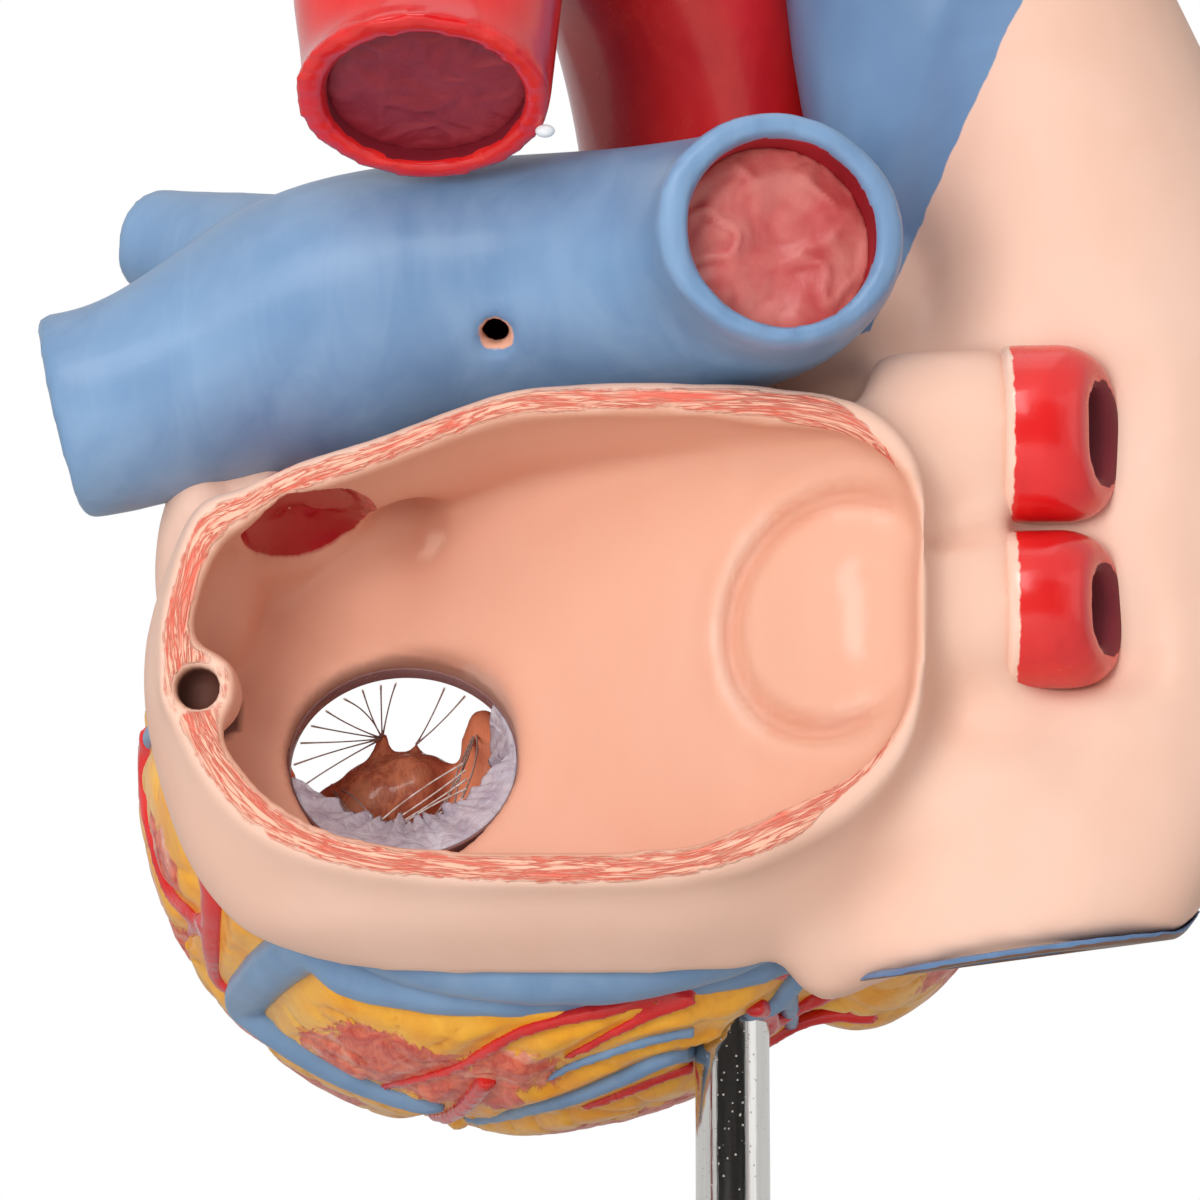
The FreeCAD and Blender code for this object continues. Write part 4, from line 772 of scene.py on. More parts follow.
def markAtria(piece, isShell=False):  # the borders between the paints of the atria
    places, normals = spots(piece), facing(piece)
    x, y, z = places.T
    unshaped = rimBend(x) * ramp(z, 152, 164)
    dropped = atria["drop"] * ramp(z, 132, 113) * ramp(x, -12, 12)
    along, across = rimPlace(x, z - unshaped + dropped)
    narrow = ramp(x, 0, -18) * ramp(z, 186, 176) * ramp(z, 112, 122)
    inLeft = facesLeft(places, normals) & (across > -0.6)
    fromRight = (places - np.array(atria["rightMiddle"])) / np.array(atria["rightReach"])
    inRight = facesMiddle(places, normals, atria["rightMiddle"]) & (np.linalg.norm(fromRight, axis=1) < 1.15)
    inside = inLeft | (inRight & (x < -14))
    onRim = np.minimum(y - atria["rimPlane"] + narrow * 2.4, across - narrow * 3.6 + 0.6)
    middle, facingOut = atria["cover"]
    seam = np.abs((x - middle[0]) * facingOut[0] + (y - middle[1]) * facingOut[1] - 0.15)
    alongSeam = np.abs(normals[:, 0] * facingOut[0] + normals[:, 1] * facingOut[1])
    seamFace = (alongSeam > 0.75) & (seam < 1.3) & (x < -20)
    cutField = np.maximum(onRim, np.where(seamFace, 2.0, -6))
    mark(piece, "along", np.where(seamFace, z, along))
    mark(piece, "across", np.where(seamFace, x, across))
    mark(piece, "cutField", np.clip(cutField, -4, 4))
    base, start, lean = atria["blueLine"]
    mark(piece, "blueField", np.clip(np.minimum(x - (start + lean * (z - base)), z - 200), -6, 6))
    red = np.full(len(places), -6.0)
    if isShell:
        mouth = (0.97 - pocketShare(places)) * 12
        level = (places - np.array(pocket["middle"])) @ out
        red = np.maximum(red, np.where((y < 60.5) & (np.abs(level) < 5), mouth, -6))
        outVein = (places - veinStart) @ veinWay
        offVein = np.linalg.norm(places - veinStart - outVein[:, None] * veinWay, axis=1)
        veinEnd = np.minimum(outVein - 15, 10.4 - offVein)
        red = np.maximum(red, np.where((offVein < 10.4) & (inside < 1), veinEnd, -6))
        inMouth = (pocketShare(places) < 1.2) & (np.abs(level) < 9) & (y < 61) & (across > 0)
        inside = inside | inMouth
    mark(piece, "redField", np.clip(red, -6, 6))
    mark(piece, "inside", relax(piece, inside.astype(float), 2))
    bore = places - onRing("mitral", 0, 0, 0)
    axis = np.array(valves["axis"])
    deep = bore @ axis
    away = np.linalg.norm(bore - deep[:, None] * axis, axis=1)
    dark = bump(np.hypot(np.maximum(away - 18, 0), np.maximum(deep - 5, 0)), 1.1) * 0.5
    inPeg = ramp(np.hypot(x - pegSpot[0], z - pegSpot[2]), 4.2, 3.5) * ramp(y, 60.4, 57)
    mark(piece, "ringShade", np.maximum(dark, inPeg))
    beside = np.linalg.norm((places - onSight((414, 524), 26)) / np.array((1, 1.6, 1.3)), axis=1)
    mark(piece, "softShade", bump(beside, 12) * 0.5 * inside)
    mark(piece, "hollow", hollows(piece, 6))


markAtria(atriaShell, True)
coat(atriaShell, atriaPaint)
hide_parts("left_atrium", "right_atrium", "superior_vena_cava", "left_pulmonary_vein")
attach(atriaShell, "heart")
print("atria moulded,", len(atriaShell.data.polygons), "faces")

cover = {"voxel": 0.0008, "smooth": 3, "thicker": 0.9}
coverWall = castOf("atrium_cover", "right_atrium_wall")
places, normals = spots(coverWall), facing(coverWall)
toCavity = facesMiddle(places, normals, atria["rightMiddle"])
places[toCavity] += normals[toCavity] * cover["thicker"]  # the thinnest part of the wall outlasts the recast
moveTo(coverWall, places)
recast(coverWall, cover["voxel"], cover["smooth"])
places = spots(coverWall)
leanBase(places)
moveTo(coverWall, places)
markAtria(coverWall)
coat(coverWall, atriaPaint)
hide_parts("right_atrium_wall")
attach(coverWall, "right_atrium_cover")

cavaRim = castOf("lower_cava_rim", "inferior_vena_cava")
recast(cavaRim, 0.0007, 2)
places = spots(cavaRim)
leanBase(places, True)
moveTo(cavaRim, places)
# painted shade: faces that look down get the dark brown of the rim paint
down = -facing(cavaRim)[:, 2]
mark(cavaRim, "boreField", np.full(len(places), -6.0))
mark(cavaRim, "bareAndShadeField", (relax(cavaRim, down, 1) - 0.55) * 4)
mark(cavaRim, "hollow", np.zeros(len(places)))
coat(cavaRim, rimPaint)
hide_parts("inferior_vena_cava")
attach(cavaRim, "heart")
print("cover and lower vein rim done")


# cast vessels
def boreOf(piece, reach):  # above 0 on inner walls, where a line out of the surface meets the piece again
    tree = treeOf(piece)
    hit = np.zeros(len(piece.data.vertices))
    for index, vertex in enumerate(piece.data.vertices):
        start = vertex.co + vertex.normal * 0.0006
        if tree.ray_cast(start, vertex.normal, reach / 1000)[0] is not None:
            hit[index] = 1
    return hit


def fieldOf(piece, share):  # a soft field in mm from a 0 or 1 value
    return np.clip((relax(piece, share, 2) - 0.5) * 5, -3, 3)


vessels = {"pegHole": (37.5, 31, 207), "pegRadius": 2.5, "pegLean": -33, "arteryEnd": (-5.5, 74, 206.5),
           "aortaShift": (5, 3), "stubOuter": (11, 14), "stubCut": (-57, 44, 0.886, 0.463),
           "stubNarrow": 1.67}


def narrowStub(places, middleZ):  # a thick wall round a small mouth, with a rounded outer edge
    x, y, z = places.T
    endX, endY, alongX, alongY = vessels["stubCut"]
    toEnd = alongX * (x - endX) - alongY * (y - endY)
    offY, offZ = y - 44 + 0.1 * (x + 43), z - middleZ
    share = np.hypot(offY / vessels["stubOuter"][0], offZ / vessels["stubOuter"][1])
    wanted = 1 - (1 - share) * vessels["stubNarrow"]
    wanted = np.where(share > 0.45, np.maximum(wanted, 0.02), share * 0.2)
    wanted *= 1 - 0.2 * np.clip(1 - toEnd / 5.5, 0, 1) ** 2 * ramp(share, 0.6, 0.9)
    factor = wanted / np.maximum(share, 0.01)
    places[:, 0] += offY * (factor - 1) * alongY / alongX * ramp(toEnd, 3, 0.5) + ramp(x, -46.5, -43.5) * 2.6
    places[:, 1] += offY * (factor - 1)
    places[:, 2] += offZ * (factor - 1)


def shapeArtery(places):  # a slimmer cut end, and a fuller underside over the left atrium
    x, y, z = places.T
    near = ramp(y, 48, 66) * (x < 22)
    outer = np.hypot(x - vessels["arteryEnd"][0], z - vessels["arteryEnd"][2]) > 16.8
    places[:, 2] += near * outer * ramp(z, 206, 190) * 1.6 - near * outer * ramp(z, 212, 222) * 0.8
    places[:, 2] -= bump(np.abs(x - 52), 28) * ramp(z, 208, 194) * (y > 20) * 2.2


def shiftAorta(places):  # the rising part of the arch stands further towards the right atrium
    share = ramp(places[:, 2], 188, 226) * ramp(places[:, 1], 32, 4)
    places[:, 0] -= share * vessels["aortaShift"][0]
    places[:, 1] -= share * vessels["aortaShift"][1]


# each cast: CAD nodes, paint, slot, reach of its bores in mm, voxel in m, rounds of smoothing
vesselCasts = {"pulmonary_artery_cast": (("pulmonary_artery",), bluePaint, "vessel_blue", 44, 0.0012, 8),
               "aorta_cast": (("aorta", "brachiocephalic_trunk", "left_common_carotid", "left_subclavian"),
                              redPaint, "vessel_red", 44, 0.0012, 6),
               "upper_right_vein_cast": (("right_superior_pulmonary_vein",),
                                         redPaint, "vessel_red", 22, 0.0008, 5),
               "lower_right_vein_cast": (("right_inferior_pulmonary_vein",),
                                         redPaint, "vessel_red", 22, 0.0008, 5)}
veinMiddles = {"upper_right_vein_cast": 181, "lower_right_vein_cast": 153.5}
for name, (nodes, paint, slotName, reach, voxel, rounds) in vesselCasts.items():
    cast = castOf(name, *nodes)
    recast(cast, voxel, rounds)
    lean = math.radians(vessels["pegLean"])
    axis = np.array((0, math.cos(lean), math.sin(lean)))
    if "pulmonary_artery" in nodes:
        places = spots(cast)
        shapeArtery(places)
        moveTo(cast, places)
        carve(cast, peg(np.array(vessels["pegHole"]) + axis * 19, 2.3, 14, axis))
        recast(cast, voxel, 1)
    if "aorta" in nodes:
        places = spots(cast)
        shiftAorta(places)
        moveTo(cast, places)
    places = spots(cast)
    bareAndShade = np.full(len(places), -6.0)
    if "pulmonary_artery" in nodes:
        offset = places - np.array(vessels["pegHole"])
        depth = offset @ axis
        away = np.linalg.norm(offset - depth[:, None] * axis, axis=1)
        bareAndShade = np.where(depth > 0, vessels["pegRadius"] + 0.25 - away, -6)
    if name in veinMiddles:
        middle = np.array((0, 44, veinMiddles[name]))
        narrowStub(places, veinMiddles[name])
        moveTo(cast, places)
        recast(cast, voxel, rounds)
        places = spots(cast)
        bareAndShade = places[:, 0] + (41.9 if "upper" in name else 42.3)
        inwards = np.sum(facing(cast)[:, 1:] * (middle - places)[:, 1:], axis=1) > 0.5
        mark(cast, "boreField", fieldOf(cast, inwards.astype(float)))
    else:
        mark(cast, "boreField", fieldOf(cast, boreOf(cast, reach)))
    mark(cast, "bareAndShadeField", np.clip(bareAndShade, -6, 6))
    mark(cast, "hollow", hollows(cast, 6))
    coat(cast, paint)
    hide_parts(*nodes)
    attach(cast, "heart")
print("great vessels cast")


# the discs set into the cut vessels
plugs = {"pulmonary_disc": {"node": "pulmonary_lumen_plug", "paint": pinkDisc, "slot": "lumen_pink",
                            "fold": 0.9, "size": 9.5, "seed": 3.0, "out": (0, 0, 0)},
         "aorta_disc": {"node": "aorta_lumen_plug", "paint": darkDisc, "slot": "lumen_dark", "fold": 0.3,
                        "size": 6.0, "seed": 8.0, "out": (0.15, 2.1, -4.8)}}
for name, plug in plugs.items():
    disc = castOf(name, plug["node"])
    recast(disc, 0.0006, 2)
    places, normals = spots(disc), facing(disc)
    bent = places + np.stack([noiseOf(places, 6, seed) for seed in (1, 2, 3)], axis=1) * 3.5
    wave = noiseOf(bent, plug["size"], plug["seed"]) * 1.3
    wave = wave + noiseOf(bent, plug["size"] * 0.4, plug["seed"]) * 0.5
    middle = places.mean(axis=0)
    span = np.linalg.norm(places - middle, axis=1)
    inside = ramp(span, span.max() * 0.98, span.max() * 0.8)
    ridges = 1 - np.clip(np.abs(noiseOf(bent, plug["size"] * 1.1, plug["seed"] + 5)) * 3.2, 0, 1)
    places += normals * ((wave + ridges ** 2 * 0.8 - bump(span, 6) * 1.2) * plug["fold"] * inside)[:, None]
    moveTo(disc, places + np.array(plug["out"]))
    mark(disc, "hollow", hollows(disc, 3))
    coat(disc, plug["paint"])
    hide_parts(plug["node"])
    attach(disc, "heart")
print("discs folded")


# ventricles: muscle and fat, with the coronary vessels on them
heart = {"voxel": 0.00115, "smooth": 3, "pillow": 1.7, "crease": 0.7, "frontCut": -60, "tuck": 18,
         "leftRoom": ((52, -25, 134), (28, 70, 33)), "rightRoom": ((-34, -28, 146), (28, 52, 36))}
# each route: radius at its start and end in mm, then frame spots over the rear, or rough places in mm
# at the sides, which are pulled onto the surface
veinRoutes = [(4.6, 3.2, [(292, 936), (350, 968), (430, 986), (510, 992), (600, 988), (690, 974),
                          (770, 960), (840, 955)]),
              (4.8, 2.4, [(305, 945), (268, 970), (242, 1000), (230, 1030), (248, 1066), (300, 1093),
                          (360, 1111),
                          (420, 1119), (455, 1121)]),
              (1.5, 0.9, [(694, 1032), (650, 1040), (600, 1056), (560, 1072), (537, 1088)]),
              (2.3, 1.6, [(694, 1048), (655, 1062), (610, 1084), (560, 1102), (505, 1114), (455, 1121)]),
              (2.8, 2.0, [(815, 955), (800, 975), (783, 998), (760, 1012), (735, 1020)])]
arteryRoutes = [(3.0, 1.5, [(207, 858), (214, 890), (210, 925), (213, 965), (218, 1000), (221, 1020)]),
                (2.6, 1.6, [(148, 735), (146, 790), (155, 850), (172, 900), (205, 925)]),
                (2.0, 1.4, [(205, 922), (180, 935), (164, 944)]),
                (1.9, 1.0, [(785, 972), (730, 971), (680, 984), (630, 1001), (580, 1016), (520, 1032),
                            (480, 1056),
                            (450, 1073), (405, 1083), (365, 1091)]),
                (1.6, 1.0, [(694, 998), (660, 1011), (630, 1025), (590, 1046), (552, 1066)]),
                (1.6, 1.2, [(694, 1066), (650, 1082), (610, 1099), (572, 1113)]),
                (2.1, 1.6, [(848, 984), (806, 1004), (770, 1026), (740, 1040)]),
                (1.9, 1.4, [(884, 1030), (845, 1040), (812, 1046), (778, 1056), (745, 1066)])]
sideVeins = [(2.2, 1.2, [(98, 20, 128), (100, 0, 142), (98, -22, 138), (92, -42, 130), (86, -57, 124)]),
             (2.0, 1.2, [(-12, 10, 92), (-13, -14, 90), (-12, -36, 94), (-10, -56, 100)]),
             (2.0, 1.2, [(-68, 6, 130), (-70, -20, 126), (-64, -44, 120), (-58, -57, 118)])]
sideArteries = [(2.0, 1.2, [(94, 20, 150), (96, 0, 158), (93, -20, 158), (86, -42, 156), (80, -57, 152)]),
                (2.0, 1.2, [(-6, 12, 90), (-7, -14, 86), (-6, -36, 88), (-4, -56, 94)]),
                (1.8, 1.2, [(-62, 10, 112), (-64, -16, 108), (-58, -42, 106), (-50, -57, 106)]),
                (2.0, 1.2, [(40, 4, 78), (46, -20, 74), (50, -42, 80), (52, -57, 88)])]
musclePatches = [((400, 1064), 13.5), ((462, 1088), 10), ((512, 1070), 8), ((350, 1054), 9), ((168, 855), 7),
                 ((945, 1004), 9), ((905, 1015), 5)]


def tuckRight(places):  # the right ventricle's foot rises towards its edge
    places[:, 2] += heart["tuck"] * ramp(places[:, 0], -20, -54) * ramp(places[:, 2], 134, 96)
    return places


heartWall = castOf("heart_wall", "ventricles")
recast(heartWall, heart["voxel"], heart["smooth"])
moveTo(heartWall, tuckRight(spots(heartWall)))
wallTree = treeOf(heartWall)


def routeBySight(route, tree):  # points on the surface, in mm, along a route of frame spots
    points = []
    for first, second in zip(route, route[1:]):
        steps = max(2, int(math.dist(first, second) / 9))
        for step in range(steps):
            share = step / steps
            spot = (first[0] + (second[0] - first[0]) * share, first[1] + (second[1] - first[1]) * share)
            hit = tree.ray_cast(eye, sightLine(spot))[0]
            if hit is None:  # just off the outline: the nearest place on it
                hit = tree.find_nearest(eye + sightLine(spot) * 0.72)[0]
            points.append(np.array(hit) * 1000)
    return points


def routeByPlace(route, tree):
    points = []
    for first, second in zip(route, route[1:]):
        steps = 6
        for step in range(steps):
            share = step / steps
            place = Vector([(a + (b - a) * share) / 1000 for a, b in zip(first, second)])
            points.append(np.array(tree.find_nearest(place)[0]) * 1000)
    return points


def evened(points, rounds=3):
    points = np.array(points)
    for _ in range(rounds):
        points[1:-1] = points[1:-1] * 0.5 + (points[:-2] + points[2:]) * 0.25
    return points


allRoutes = {"veins": [], "arteries": []}
for kind, bySight, byPlace in (("veins", veinRoutes, sideVeins), ("arteries", arteryRoutes, sideArteries)):
    for thick, thin, route in bySight:
        allRoutes[kind].append((thick, thin, evened(routeBySight(route, wallTree))))
    for thick, thin, route in byPlace:
        allRoutes[kind].append((thick, thin, evened(routeByPlace(route, wallTree))))


def gapTo(places, routes):  # distance from each place to the nearest route, less its radius
    best = np.full(len(places), 99.0)
    for thick, thin, points in routes:
        for index, (a, b) in enumerate(zip(points, points[1:])):
            run = b - a
            share = np.clip(((places - a) @ run) / max(run @ run, 1e-9), 0, 1)
            radius = thick + (thin - thick) * (index / max(len(points) - 1, 1))
            best = np.minimum(best, np.linalg.norm(places - (a + share[:, None] * run), axis=1) - radius)
    return best


places, normals = spots(heartWall), facing(heartWall)
x, y, z = places.T
gap = gapTo(places, allRoutes["veins"] + allRoutes["arteries"])


def roomShare(room):
    middle, reach = np.array(room[0]), np.array(room[1])
    return np.linalg.norm((places - middle) / reach, axis=1), np.sum(normals * (middle - places), axis=1)


lining = np.zeros(len(places))
for room in (heart["leftRoom"], heart["rightRoom"]):
    share, towards = roomShare(room)
    lining = np.maximum(lining, ((share < 1.12) & (towards > 0)).astype(float))
valveSide = (places - np.array((0, 40, 100))) @ np.array(valves["axis"]) > -1.2
outside = (lining < 0.5) & (y > heart["frontCut"] + 1.5) & ~valveSide & (z < 183)
free = relax(heartWall, outside.astype(float), 3)
away = np.full(len(places), 99.0)
for spot, reach in musclePatches:
    hit = wallTree.ray_cast(eye, sightLine(spot))[0]
    if hit is not None:
        away = np.minimum(away, np.linalg.norm(places - np.array(hit) * 1000, axis=1) - reach)
fatField = np.minimum(np.minimum(10 - gap, away), 6)
broad, fineNoise = noiseOf(places, 14, 2.0), noiseOf(places, 4.5, 5.0)
crease = (1 - np.clip(np.abs(noiseOf(places, 9, 7.0)) * 7, 0, 1)) ** 2 * ramp(gap, 0.5, 3)
pillow = (1 - np.exp(-(np.maximum(gap - 0.2, 0) / 2.6) ** 2)) * heart["pillow"]
rough = fineNoise * 0.35 * ramp(fatField, 1, -3) + broad * 0.5
lift = (pillow + rough - crease * heart["crease"] - 0.4) * free
trabecula = np.abs(noiseOf(places * np.array((1, 0.35, 1)), 5.5, 4.0)) * 3.2 - 0.7
trabecula = trabecula * relax(heartWall, lining, 2)
places = places + normals * (lift - trabecula * (y > heart["frontCut"] + 2))[:, None]
moveTo(heartWall, places)
finishWith(heartWall, "SMOOTH", factor=0.3, iterations=1)
mark(heartWall, "fatField", np.clip(fatField, -6, 6))
mark(heartWall, "liningField", np.clip((relax(heartWall, lining, 1) - 0.5) * 5, -3, 3))
mark(heartWall, "cutField", np.where(y < heart["frontCut"] + 3, heart["frontCut"] + 0.7 - y, -6))
share, _ = roomShare(heart["leftRoom"])
mark(heartWall, "along", np.arctan2(z - 134, x - 52) * 40)
mark(heartWall, "across", share * 30)
mark(heartWall, "hollow", hollows(heartWall, 4))
coat(heartWall, heartPaint)
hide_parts("ventricles")
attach(heartWall, "heart")
print("ventricles moulded,", len(heartWall.data.polygons), "faces")


def tubeAlong(name, points, radii, sink=0.0, tree=None):  # a round cord of clay through points in mm
    line = bpy.data.curves.new(name, "CURVE")
    line.dimensions = "3D"
    line.bevel_depth = 0.001
    line.bevel_resolution = 3
    line.use_fill_caps = True
    spline = line.splines.new("NURBS")
    spline.points.add(len(points) - 1)
    for point, place, radius in zip(spline.points, points, radii):
        place = Vector(place) / 1000
        if tree is not None:
            normal = tree.find_nearest(place)[1]
            place = place + normal * (-sink * radius / 1000)
        point.co = (*place, 1)
        point.radius = radius
    spline.order_u = 3
    spline.use_endpoint_u = True
    piece = bpy.data.objects.new(name, line)
    bpy.context.scene.collection.objects.link(piece)
    pick(piece)
    bpy.ops.object.convert(target="MESH")
    return bpy.context.object


for kind, nodes, paint, slotName, name in (
        ("veins", ("coronary_sinus", "cardiac_veins"), bluePaint, "vessel_blue", "heart_veins"),
        ("arteries", ("coronary_arteries",), redPaint, "vessel_red", "heart_arteries")):
    tubes = []
    for index, (thick, thin, points) in enumerate(allRoutes[kind]):
        radii = np.linspace(thick, thin, len(points))
        radii[-1] *= 0.5
        tubes.append(tubeAlong(f"{kind}{index}", points, radii, 0.25, wallTree))
    if kind == "veins":
        tubes.append(castOf("sinus_clay", "coronary_sinus"))
        moveTo(tubes[-1], spots(tubes[-1]) + np.array((0, 0.5, 2.6)))
    net = joinTo(*tubes)
    net.name = name
    net.data.name = name
    recast(net, 0.0008, 6)
    places = spots(net)
    places += facing(net) * (noiseOf(places, 6, 1.0) * 0.25)[:, None]
    moveTo(net, places)
    mark(net, "boreField", np.full(len(places), -6.0))
    mark(net, "bareAndShadeField", np.full(len(places), -6.0))
    mark(net, "hollow", hollows(net, 4))
    coat(net, paint)
    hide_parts(*nodes)
    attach(net, "heart")
print("coronary vessels laid")


# valves, papillary muscles and their threads
def sheetThrough(name, rows, thickness):  # a thin skin through rows of places, mm
    mesh = bpy.data.meshes.new(name)
    wide = len(rows[0])
    corners = [Vector(place) / 1000 for row in rows for place in row]
    faces = [(r * wide + c, r * wide + c + 1, (r + 1) * wide + c + 1, (r + 1) * wide + c)
             for r in range(len(rows) - 1) for c in range(wide - 1)]
    mesh.from_pydata(corners, [], faces)
    piece = bpy.data.objects.new(name, mesh)
    bpy.context.scene.collection.objects.link(piece)
    finishWith(piece, "SOLIDIFY", thickness=thickness / 1000, offset=0)
    pick(piece)
    bpy.ops.object.shade_smooth()
    return piece


def leafRows(leaf):  # an uneven skirt that hangs from the ring to a ragged free edge
    rows = []
    steps = 120
    for down in range(15):
        share = down / 14
        row = []
        for step in range(steps + 1):
            along = step / steps
            angle = leaf["from"] + (leaf["to"] - leaf["from"]) * along
            belly = math.sin(math.pi * along) ** 0.55
            uneven = 1 + 0.06 * math.sin(angle * 0.21) + 0.04 * math.sin(angle * 0.55 + 1)
            width = leaf["width"] * belly * uneven
            fold = 0.35 * math.sin(angle * 0.33 + share * 2) * share + 0.2 * math.sin(angle * 0.9) * share
            radius = valves["radius"] - width * share ** 0.9 + fold * 0.5
            depth = -2.2 + (leaf["hang"] + 2) * belly * share ** 1.2 + fold
            row.append(onRing(leaf["center"], radius, angle, depth))
        rows.append(row)
    return rows


leaves = {"mitral_leaf_back": {"center": "mitral", "from": 350, "to": 172, "width": 11, "hang": 4},
          "mitral_leaf_front": {"center": "mitral", "from": 190, "to": 142, "width": 3.4, "hang": 6},
          "tricuspid_leaf_1": {"center": "tricuspid", "from": 33, "to": 150, "width": 8, "hang": 10},
          "tricuspid_leaf_2": {"center": "tricuspid", "from": 153, "to": 270, "width": 8, "hang": 10},
          "tricuspid_leaf_3": {"center": "tricuspid", "from": 273, "to": 390, "width": 8, "hang": 10}}
for side, node in (("mitral", "mitral_valve"), ("tricuspid", "tricuspid_valve")):
    parts = [sheetThrough(name, leafRows(leaf), 0.22)
             for name, leaf in leaves.items() if leaf["center"] == side]
    film = joinTo(*parts) if len(parts) > 1 else parts[0]
    film.name = side + "_leaflets"
    film.data.name = film.name
    coat(film, leafletFilm)
    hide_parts(node)
    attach(film, "heart")
    pick()
    tilt = Vector(valves["axis"]).to_track_quat("Z", "Y").to_euler()
    bpy.ops.mesh.primitive_cylinder_add(vertices=160, radius=(valves["radius"] + 0.3) / 1000, depth=0.0026,
                                        end_fill_type="NOTHING", rotation=tilt,
                                        location=[v / 1000 for v in onRing(side, 0, 0, -1.2)])
    hoop = bpy.context.object
    hoop.name = side + "_ring"
    hoop.data.name = hoop.name
    bpy.ops.object.transform_apply(location=True, rotation=True, scale=True)
    finishWith(hoop, "SOLIDIFY", thickness=0.0005, offset=0)
    finishWith(hoop, "BEVEL", width=0.0002, segments=3)
    pick(hoop)
    bpy.ops.object.shade_smooth_by_angle(angle=math.radians(40))
    coat(hoop, ringPaint)
    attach(hoop, "heart")

# the muscles: built up from clay along a spine, then roughened
muscleSpines = {
    "left_muscles": {"nodes": "left_papillary_muscles", "grain": 0.55, "spines": [
        [(79, -27, 106, 8.5), (73, -18, 114, 9), (66, -14, 122, 8.6),
         (59, -12.5, 129.2, 7.6), (53, -12, 132, 6.6), (49.5, -12.5, 132.5, 5.4)],
        [(57.6, -12, 135, 3.2), (57.6, -12, 139, 1.4), (57.5, -12, 141, 0.7)],
        [(52.2, -12, 138, 1.4), (51.9, -12, 140, 0.5)],
        [(34, -26, 100, 8), (37, -20, 114, 6.8), (39, -15, 126, 5.6),
         (40, -13, 134, 4.9), (40.6, -12, 139.6, 4.0), (41, -11.5, 142.6, 2.6)],
        [(44, -14, 118, 4.4), (43.8, -12.5, 128, 3.8), (43.4, -12, 134, 3)]]},
    "right_muscles": {"nodes": "right_papillary_muscles", "grain": 0.5, "spines": [
        [(-28, -26, 111, 7), (-31, -20, 119, 6), (-34, -15.5, 127, 4), (-35, -14, 131, 1.8)],
        [(-46, -20, 124, 5.5), (-46, -16, 127, 4.6), (-46, -13, 130, 3), (-46, -12, 131.5, 1.6)],
        [(-13, -24, 150, 7.5), (-21, -18, 150, 5.5), (-28, -14, 150, 3.8), (-31.5, -13, 150, 1.8)]]}}
for name, muscle in muscleSpines.items():
    lumps = []
    for spine in muscle["spines"]:
        for first, second in zip(spine, spine[1:]):
            steps = max(2, int(math.dist(first[:3], second[:3]) / 1.2))
            for step in range(steps + 1):
                share = step / steps
                place = [a + (b - a) * share for a, b in zip(first, second)]
                lumps.append((place[:3], place[3]))
    form = bpy.data.meshes.new(name)
    shapes = bmesh.new()
    for place, radius in lumps:
        made = bmesh.ops.create_icosphere(shapes, subdivisions=3, radius=radius / 1000)["verts"]
        bmesh.ops.translate(shapes, verts=made, vec=Vector(place) / 1000)
    shapes.to_mesh(form)
    shapes.free()
    body = bpy.data.objects.new(name, form)
    bpy.context.scene.collection.objects.link(body)
    recast(body, 0.0006, 8)
    places = spots(body)
    lump = noiseOf(places, 6, 3.0) * 0.8
    lump = lump + noiseOf(places * np.array((1, 1, 0.4)), 2.2, 6.0) * muscle["grain"] * 0.6
    moveTo(body, places + facing(body) * lump[:, None])
    finishWith(body, "SMOOTH", factor=0.4, iterations=2)
    places = spots(body)
    # painted light on the pale parts (the second left muscle, a tip and the lower part of the first) and
    # painted shade on the first muscle's inner side
    pale = np.zeros(len(places))
    if name == "left_muscles":
        pale = np.maximum(ramp(places[:, 0], 47.5, 45.5),
                          bump(np.linalg.norm(places - (57.6, -12, 141), axis=1), 5))
        pale = np.maximum(pale, ramp(places[:, 0], 62, 74) * 0.55)
    mark(body, "pale", pale)
    paintedShadeSide = ramp(places[:, 0], 54, 47) * (places[:, 0] > 44.5) if name == "left_muscles" else pale
    mark(body, "paintedShadeSide", paintedShadeSide)
    coat(body, papillaryPaint)
    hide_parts(muscle["nodes"])
    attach(body, "heart")
print("papillary muscles built")

threadSets = {"mitral_threads": {"node": "mitral_chordae", "lines": []},
              "tricuspid_threads": {"node": "tricuspid_chordae", "lines": []}}
mitral = threadSets["mitral_threads"]["lines"]
for angle in (-12, 5, 19, 31, 43, 55, 66, 76, 84):
    mitral.append(((57.6, -12, 140.6), onRing("mitral", 17.5, angle, 0.8), 0.13))
for angle in (110, 122):
    mitral.append(((51.9, -12, 139.7), onRing("mitral", 17.5, angle, 0.8), 0.13))
for low, high in ((301, 158), (295, 166), (289, 176), (284, 187), (278, 200), (273, 213)):
    mitral.append((onRing("mitral", 9.6, low, 4.2), onRing("mitral", 9.8, high, 3.6), 0.15))
for angle in (196, 214, 232, 250):
    mitral.append(((42, -12, 142), onRing("mitral", 9.4, angle, 4.2), 0.16))
for angle in (318, 306, 294):
    mitral.append(((66, -13.5, 133), onRing("mitral", 10, angle, 4.2), 0.15))
for angle in (330, 324, 317, 309, 300, 291):
    mitral.append((onRing("mitral", 12.4, angle, 2.8), onRing("mitral", 9.8, angle - 7, 4.1), 0.11))
tricuspidTips = {(-35, -14, 131.5): (280, 310, 340, 8), (-46, -12, 131.5): (172, 200, 230, 258),
                 (-31.5, -13, 150): (42, 70, 100, 128)}
for tip, angles in tricuspidTips.items():
    for angle in angles:
        threadSets["tricuspid_threads"]["lines"].append((tip, onRing("tricuspid", 10.2, angle, 10.5), 0.2))

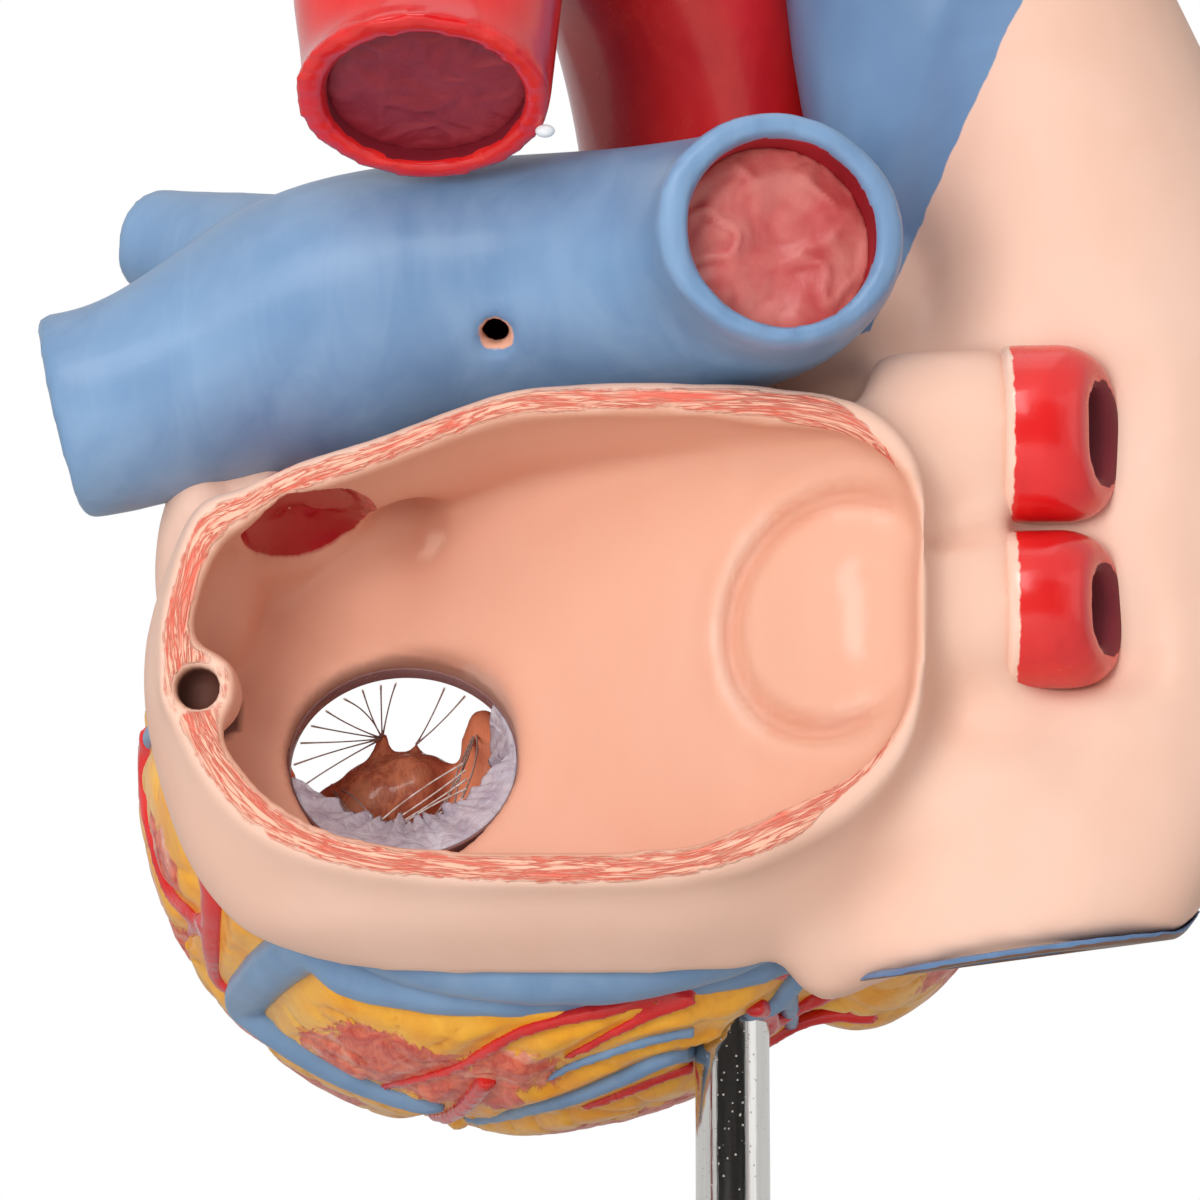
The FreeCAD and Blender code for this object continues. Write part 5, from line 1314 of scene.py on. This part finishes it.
for name, item in threadSets.items():
    cords = []
    for index, (start, end, radius) in enumerate(item["lines"]):
        start, end = np.array(start), np.array(end)
        sway = np.cross(end - start, (0.3, 1, 0.2))
        sway = sway / max(np.linalg.norm(sway), 1e-6)
        sway = sway * np.linalg.norm(end - start) * 0.035 * math.sin(index * 2.1 + 0.5)
        points = [start + (end - start) * share + sway * math.sin(math.pi * share)
                  for share in (0, 0.12, 0.35, 0.65, 0.88, 1)]
        radii = [radius * thick for thick in (1.7, 1, 0.9, 0.9, 1, 1.4)]
        cords.append(tubeAlong(f"{name}_{index}", points, radii))
    net = joinTo(*cords)
    net.name = name
    net.data.name = name
    pick(net)
    bpy.ops.object.shade_smooth()
    coat(net, threadPaint)
    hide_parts(item["node"])
    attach(net, "heart")
for node in ("aortic_valve", "pulmonary_valve"):
    coat(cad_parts[node], leafletFilm)
print("valves and threads strung")

# a bead of clear glue where the aorta rests on the pulmonary artery
glue = ball(onSight((545, 131), 61.5), (1.5, 1.1, 1.0), "glue_bead")
coat(glue, glueClear)
bpy.ops.object.shade_smooth()
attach(glue, "heart")

# the stand and the loose metal keep their built shapes
for node, paint in (("base_plate", basePlastic), ("base_pad", rubber), ("stand_post", chrome),
                    ("base_washer", steel), ("base_screw", steel), ("post_sleeve", aluminium),
                    ("cover_pins", steel)):
    coat(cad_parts[node], paint)


# studio
# each lamp: power in W, place and size in m
studio = {"daylight": 0.38, "key": (3.0, (0.2, 0.95, 0.75), 0.5), "front": (4.3, (0.32, 0.85, 0.16), 0.3),
          "fill": (0.8, (-0.9, 0.6, 0.4), 0.8), "overhead": (2.0, (0, -0.1, 1.3), 1.0),
          "target": (0.01, 0, 0.16), "glossyWorld": 0.45}


def softBox(name, power, place, size):
    pick()
    bpy.ops.object.light_add(type="AREA", location=place)
    lamp = bpy.context.object
    lamp.name = name
    lamp.data.energy = power
    lamp.data.size = size
    lamp.rotation_euler = (Vector(studio["target"]) - Vector(place)).to_track_quat("-Z", "Y").to_euler()
    return lamp


for label in ("key", "front", "fill", "overhead"):
    softBox(label + "_light", *studio[label]).visible_glossy = label != "front"

pick()
bpy.ops.mesh.primitive_plane_add(size=4, location=(0, 0, 0))
floorPlane = bpy.context.object
floorPlane.name = "studio_floor"
floorPaint = bpy.data.materials.new("floor_white")
floorPaint.use_nodes = True
floorPaint.node_tree.nodes["Principled BSDF"].inputs["Base Color"].default_value = shade(236, 236, 234)
floorPaint.node_tree.nodes["Principled BSDF"].inputs["Roughness"].default_value = 0.8
coat(floorPlane, floorPaint)
# cards that only the shiny post and paint reflect: name, middle across, width, colour
for name, across, wide, colour in (("dark_card", 0.1, 2.7, (38, 34, 32)),
                                   ("copper_card", -1.36, 0.14, (190, 104, 70)),
                                   ("red_card", 3.6, 1.6, (170, 60, 50))):
    bpy.ops.mesh.primitive_plane_add(size=1, location=(across, 1.15, 0.3), rotation=(math.radians(90), 0, 0))
    card = bpy.context.object
    card.name = name
    card.scale = (wide, 1.1, 1)
    bpy.ops.object.transform_apply(location=True, rotation=True, scale=True)
    for ray in ("camera", "diffuse", "shadow", "transmission", "volume_scatter"):
        setattr(card, "visible_" + ray, False)
    cardPaint = bpy.data.materials.new(name + "_paint")
    cardPaint.use_nodes = True
    cardPaint.node_tree.nodes["Principled BSDF"].inputs["Base Color"].default_value = shade(*colour)
    cardPaint.node_tree.nodes["Principled BSDF"].inputs["Roughness"].default_value = 0.9
    coat(card, cardPaint)

world = bpy.data.worlds.new("studio_white")
bpy.context.scene.world = world
world.use_nodes = True
background = world.node_tree.nodes["Background"]
background.inputs["Color"].default_value = (1, 1, 1, 1)
path = world.node_tree.nodes.new("ShaderNodeLightPath")
seen = calc(world.node_tree, "MAXIMUM", path.outputs["Is Camera Ray"], path.outputs["Is Transmission Ray"])
seen = calc(world.node_tree, "MAXIMUM", seen, calc(world.node_tree, "MULTIPLY", path.outputs["Is Glossy Ray"],
                                              studio["glossyWorld"]))
feed(world.node_tree, background.inputs["Strength"], between(world.node_tree, seen, studio["daylight"], 1.0))
bpy.context.scene.view_settings.view_transform = "Standard"
print("studio lit")
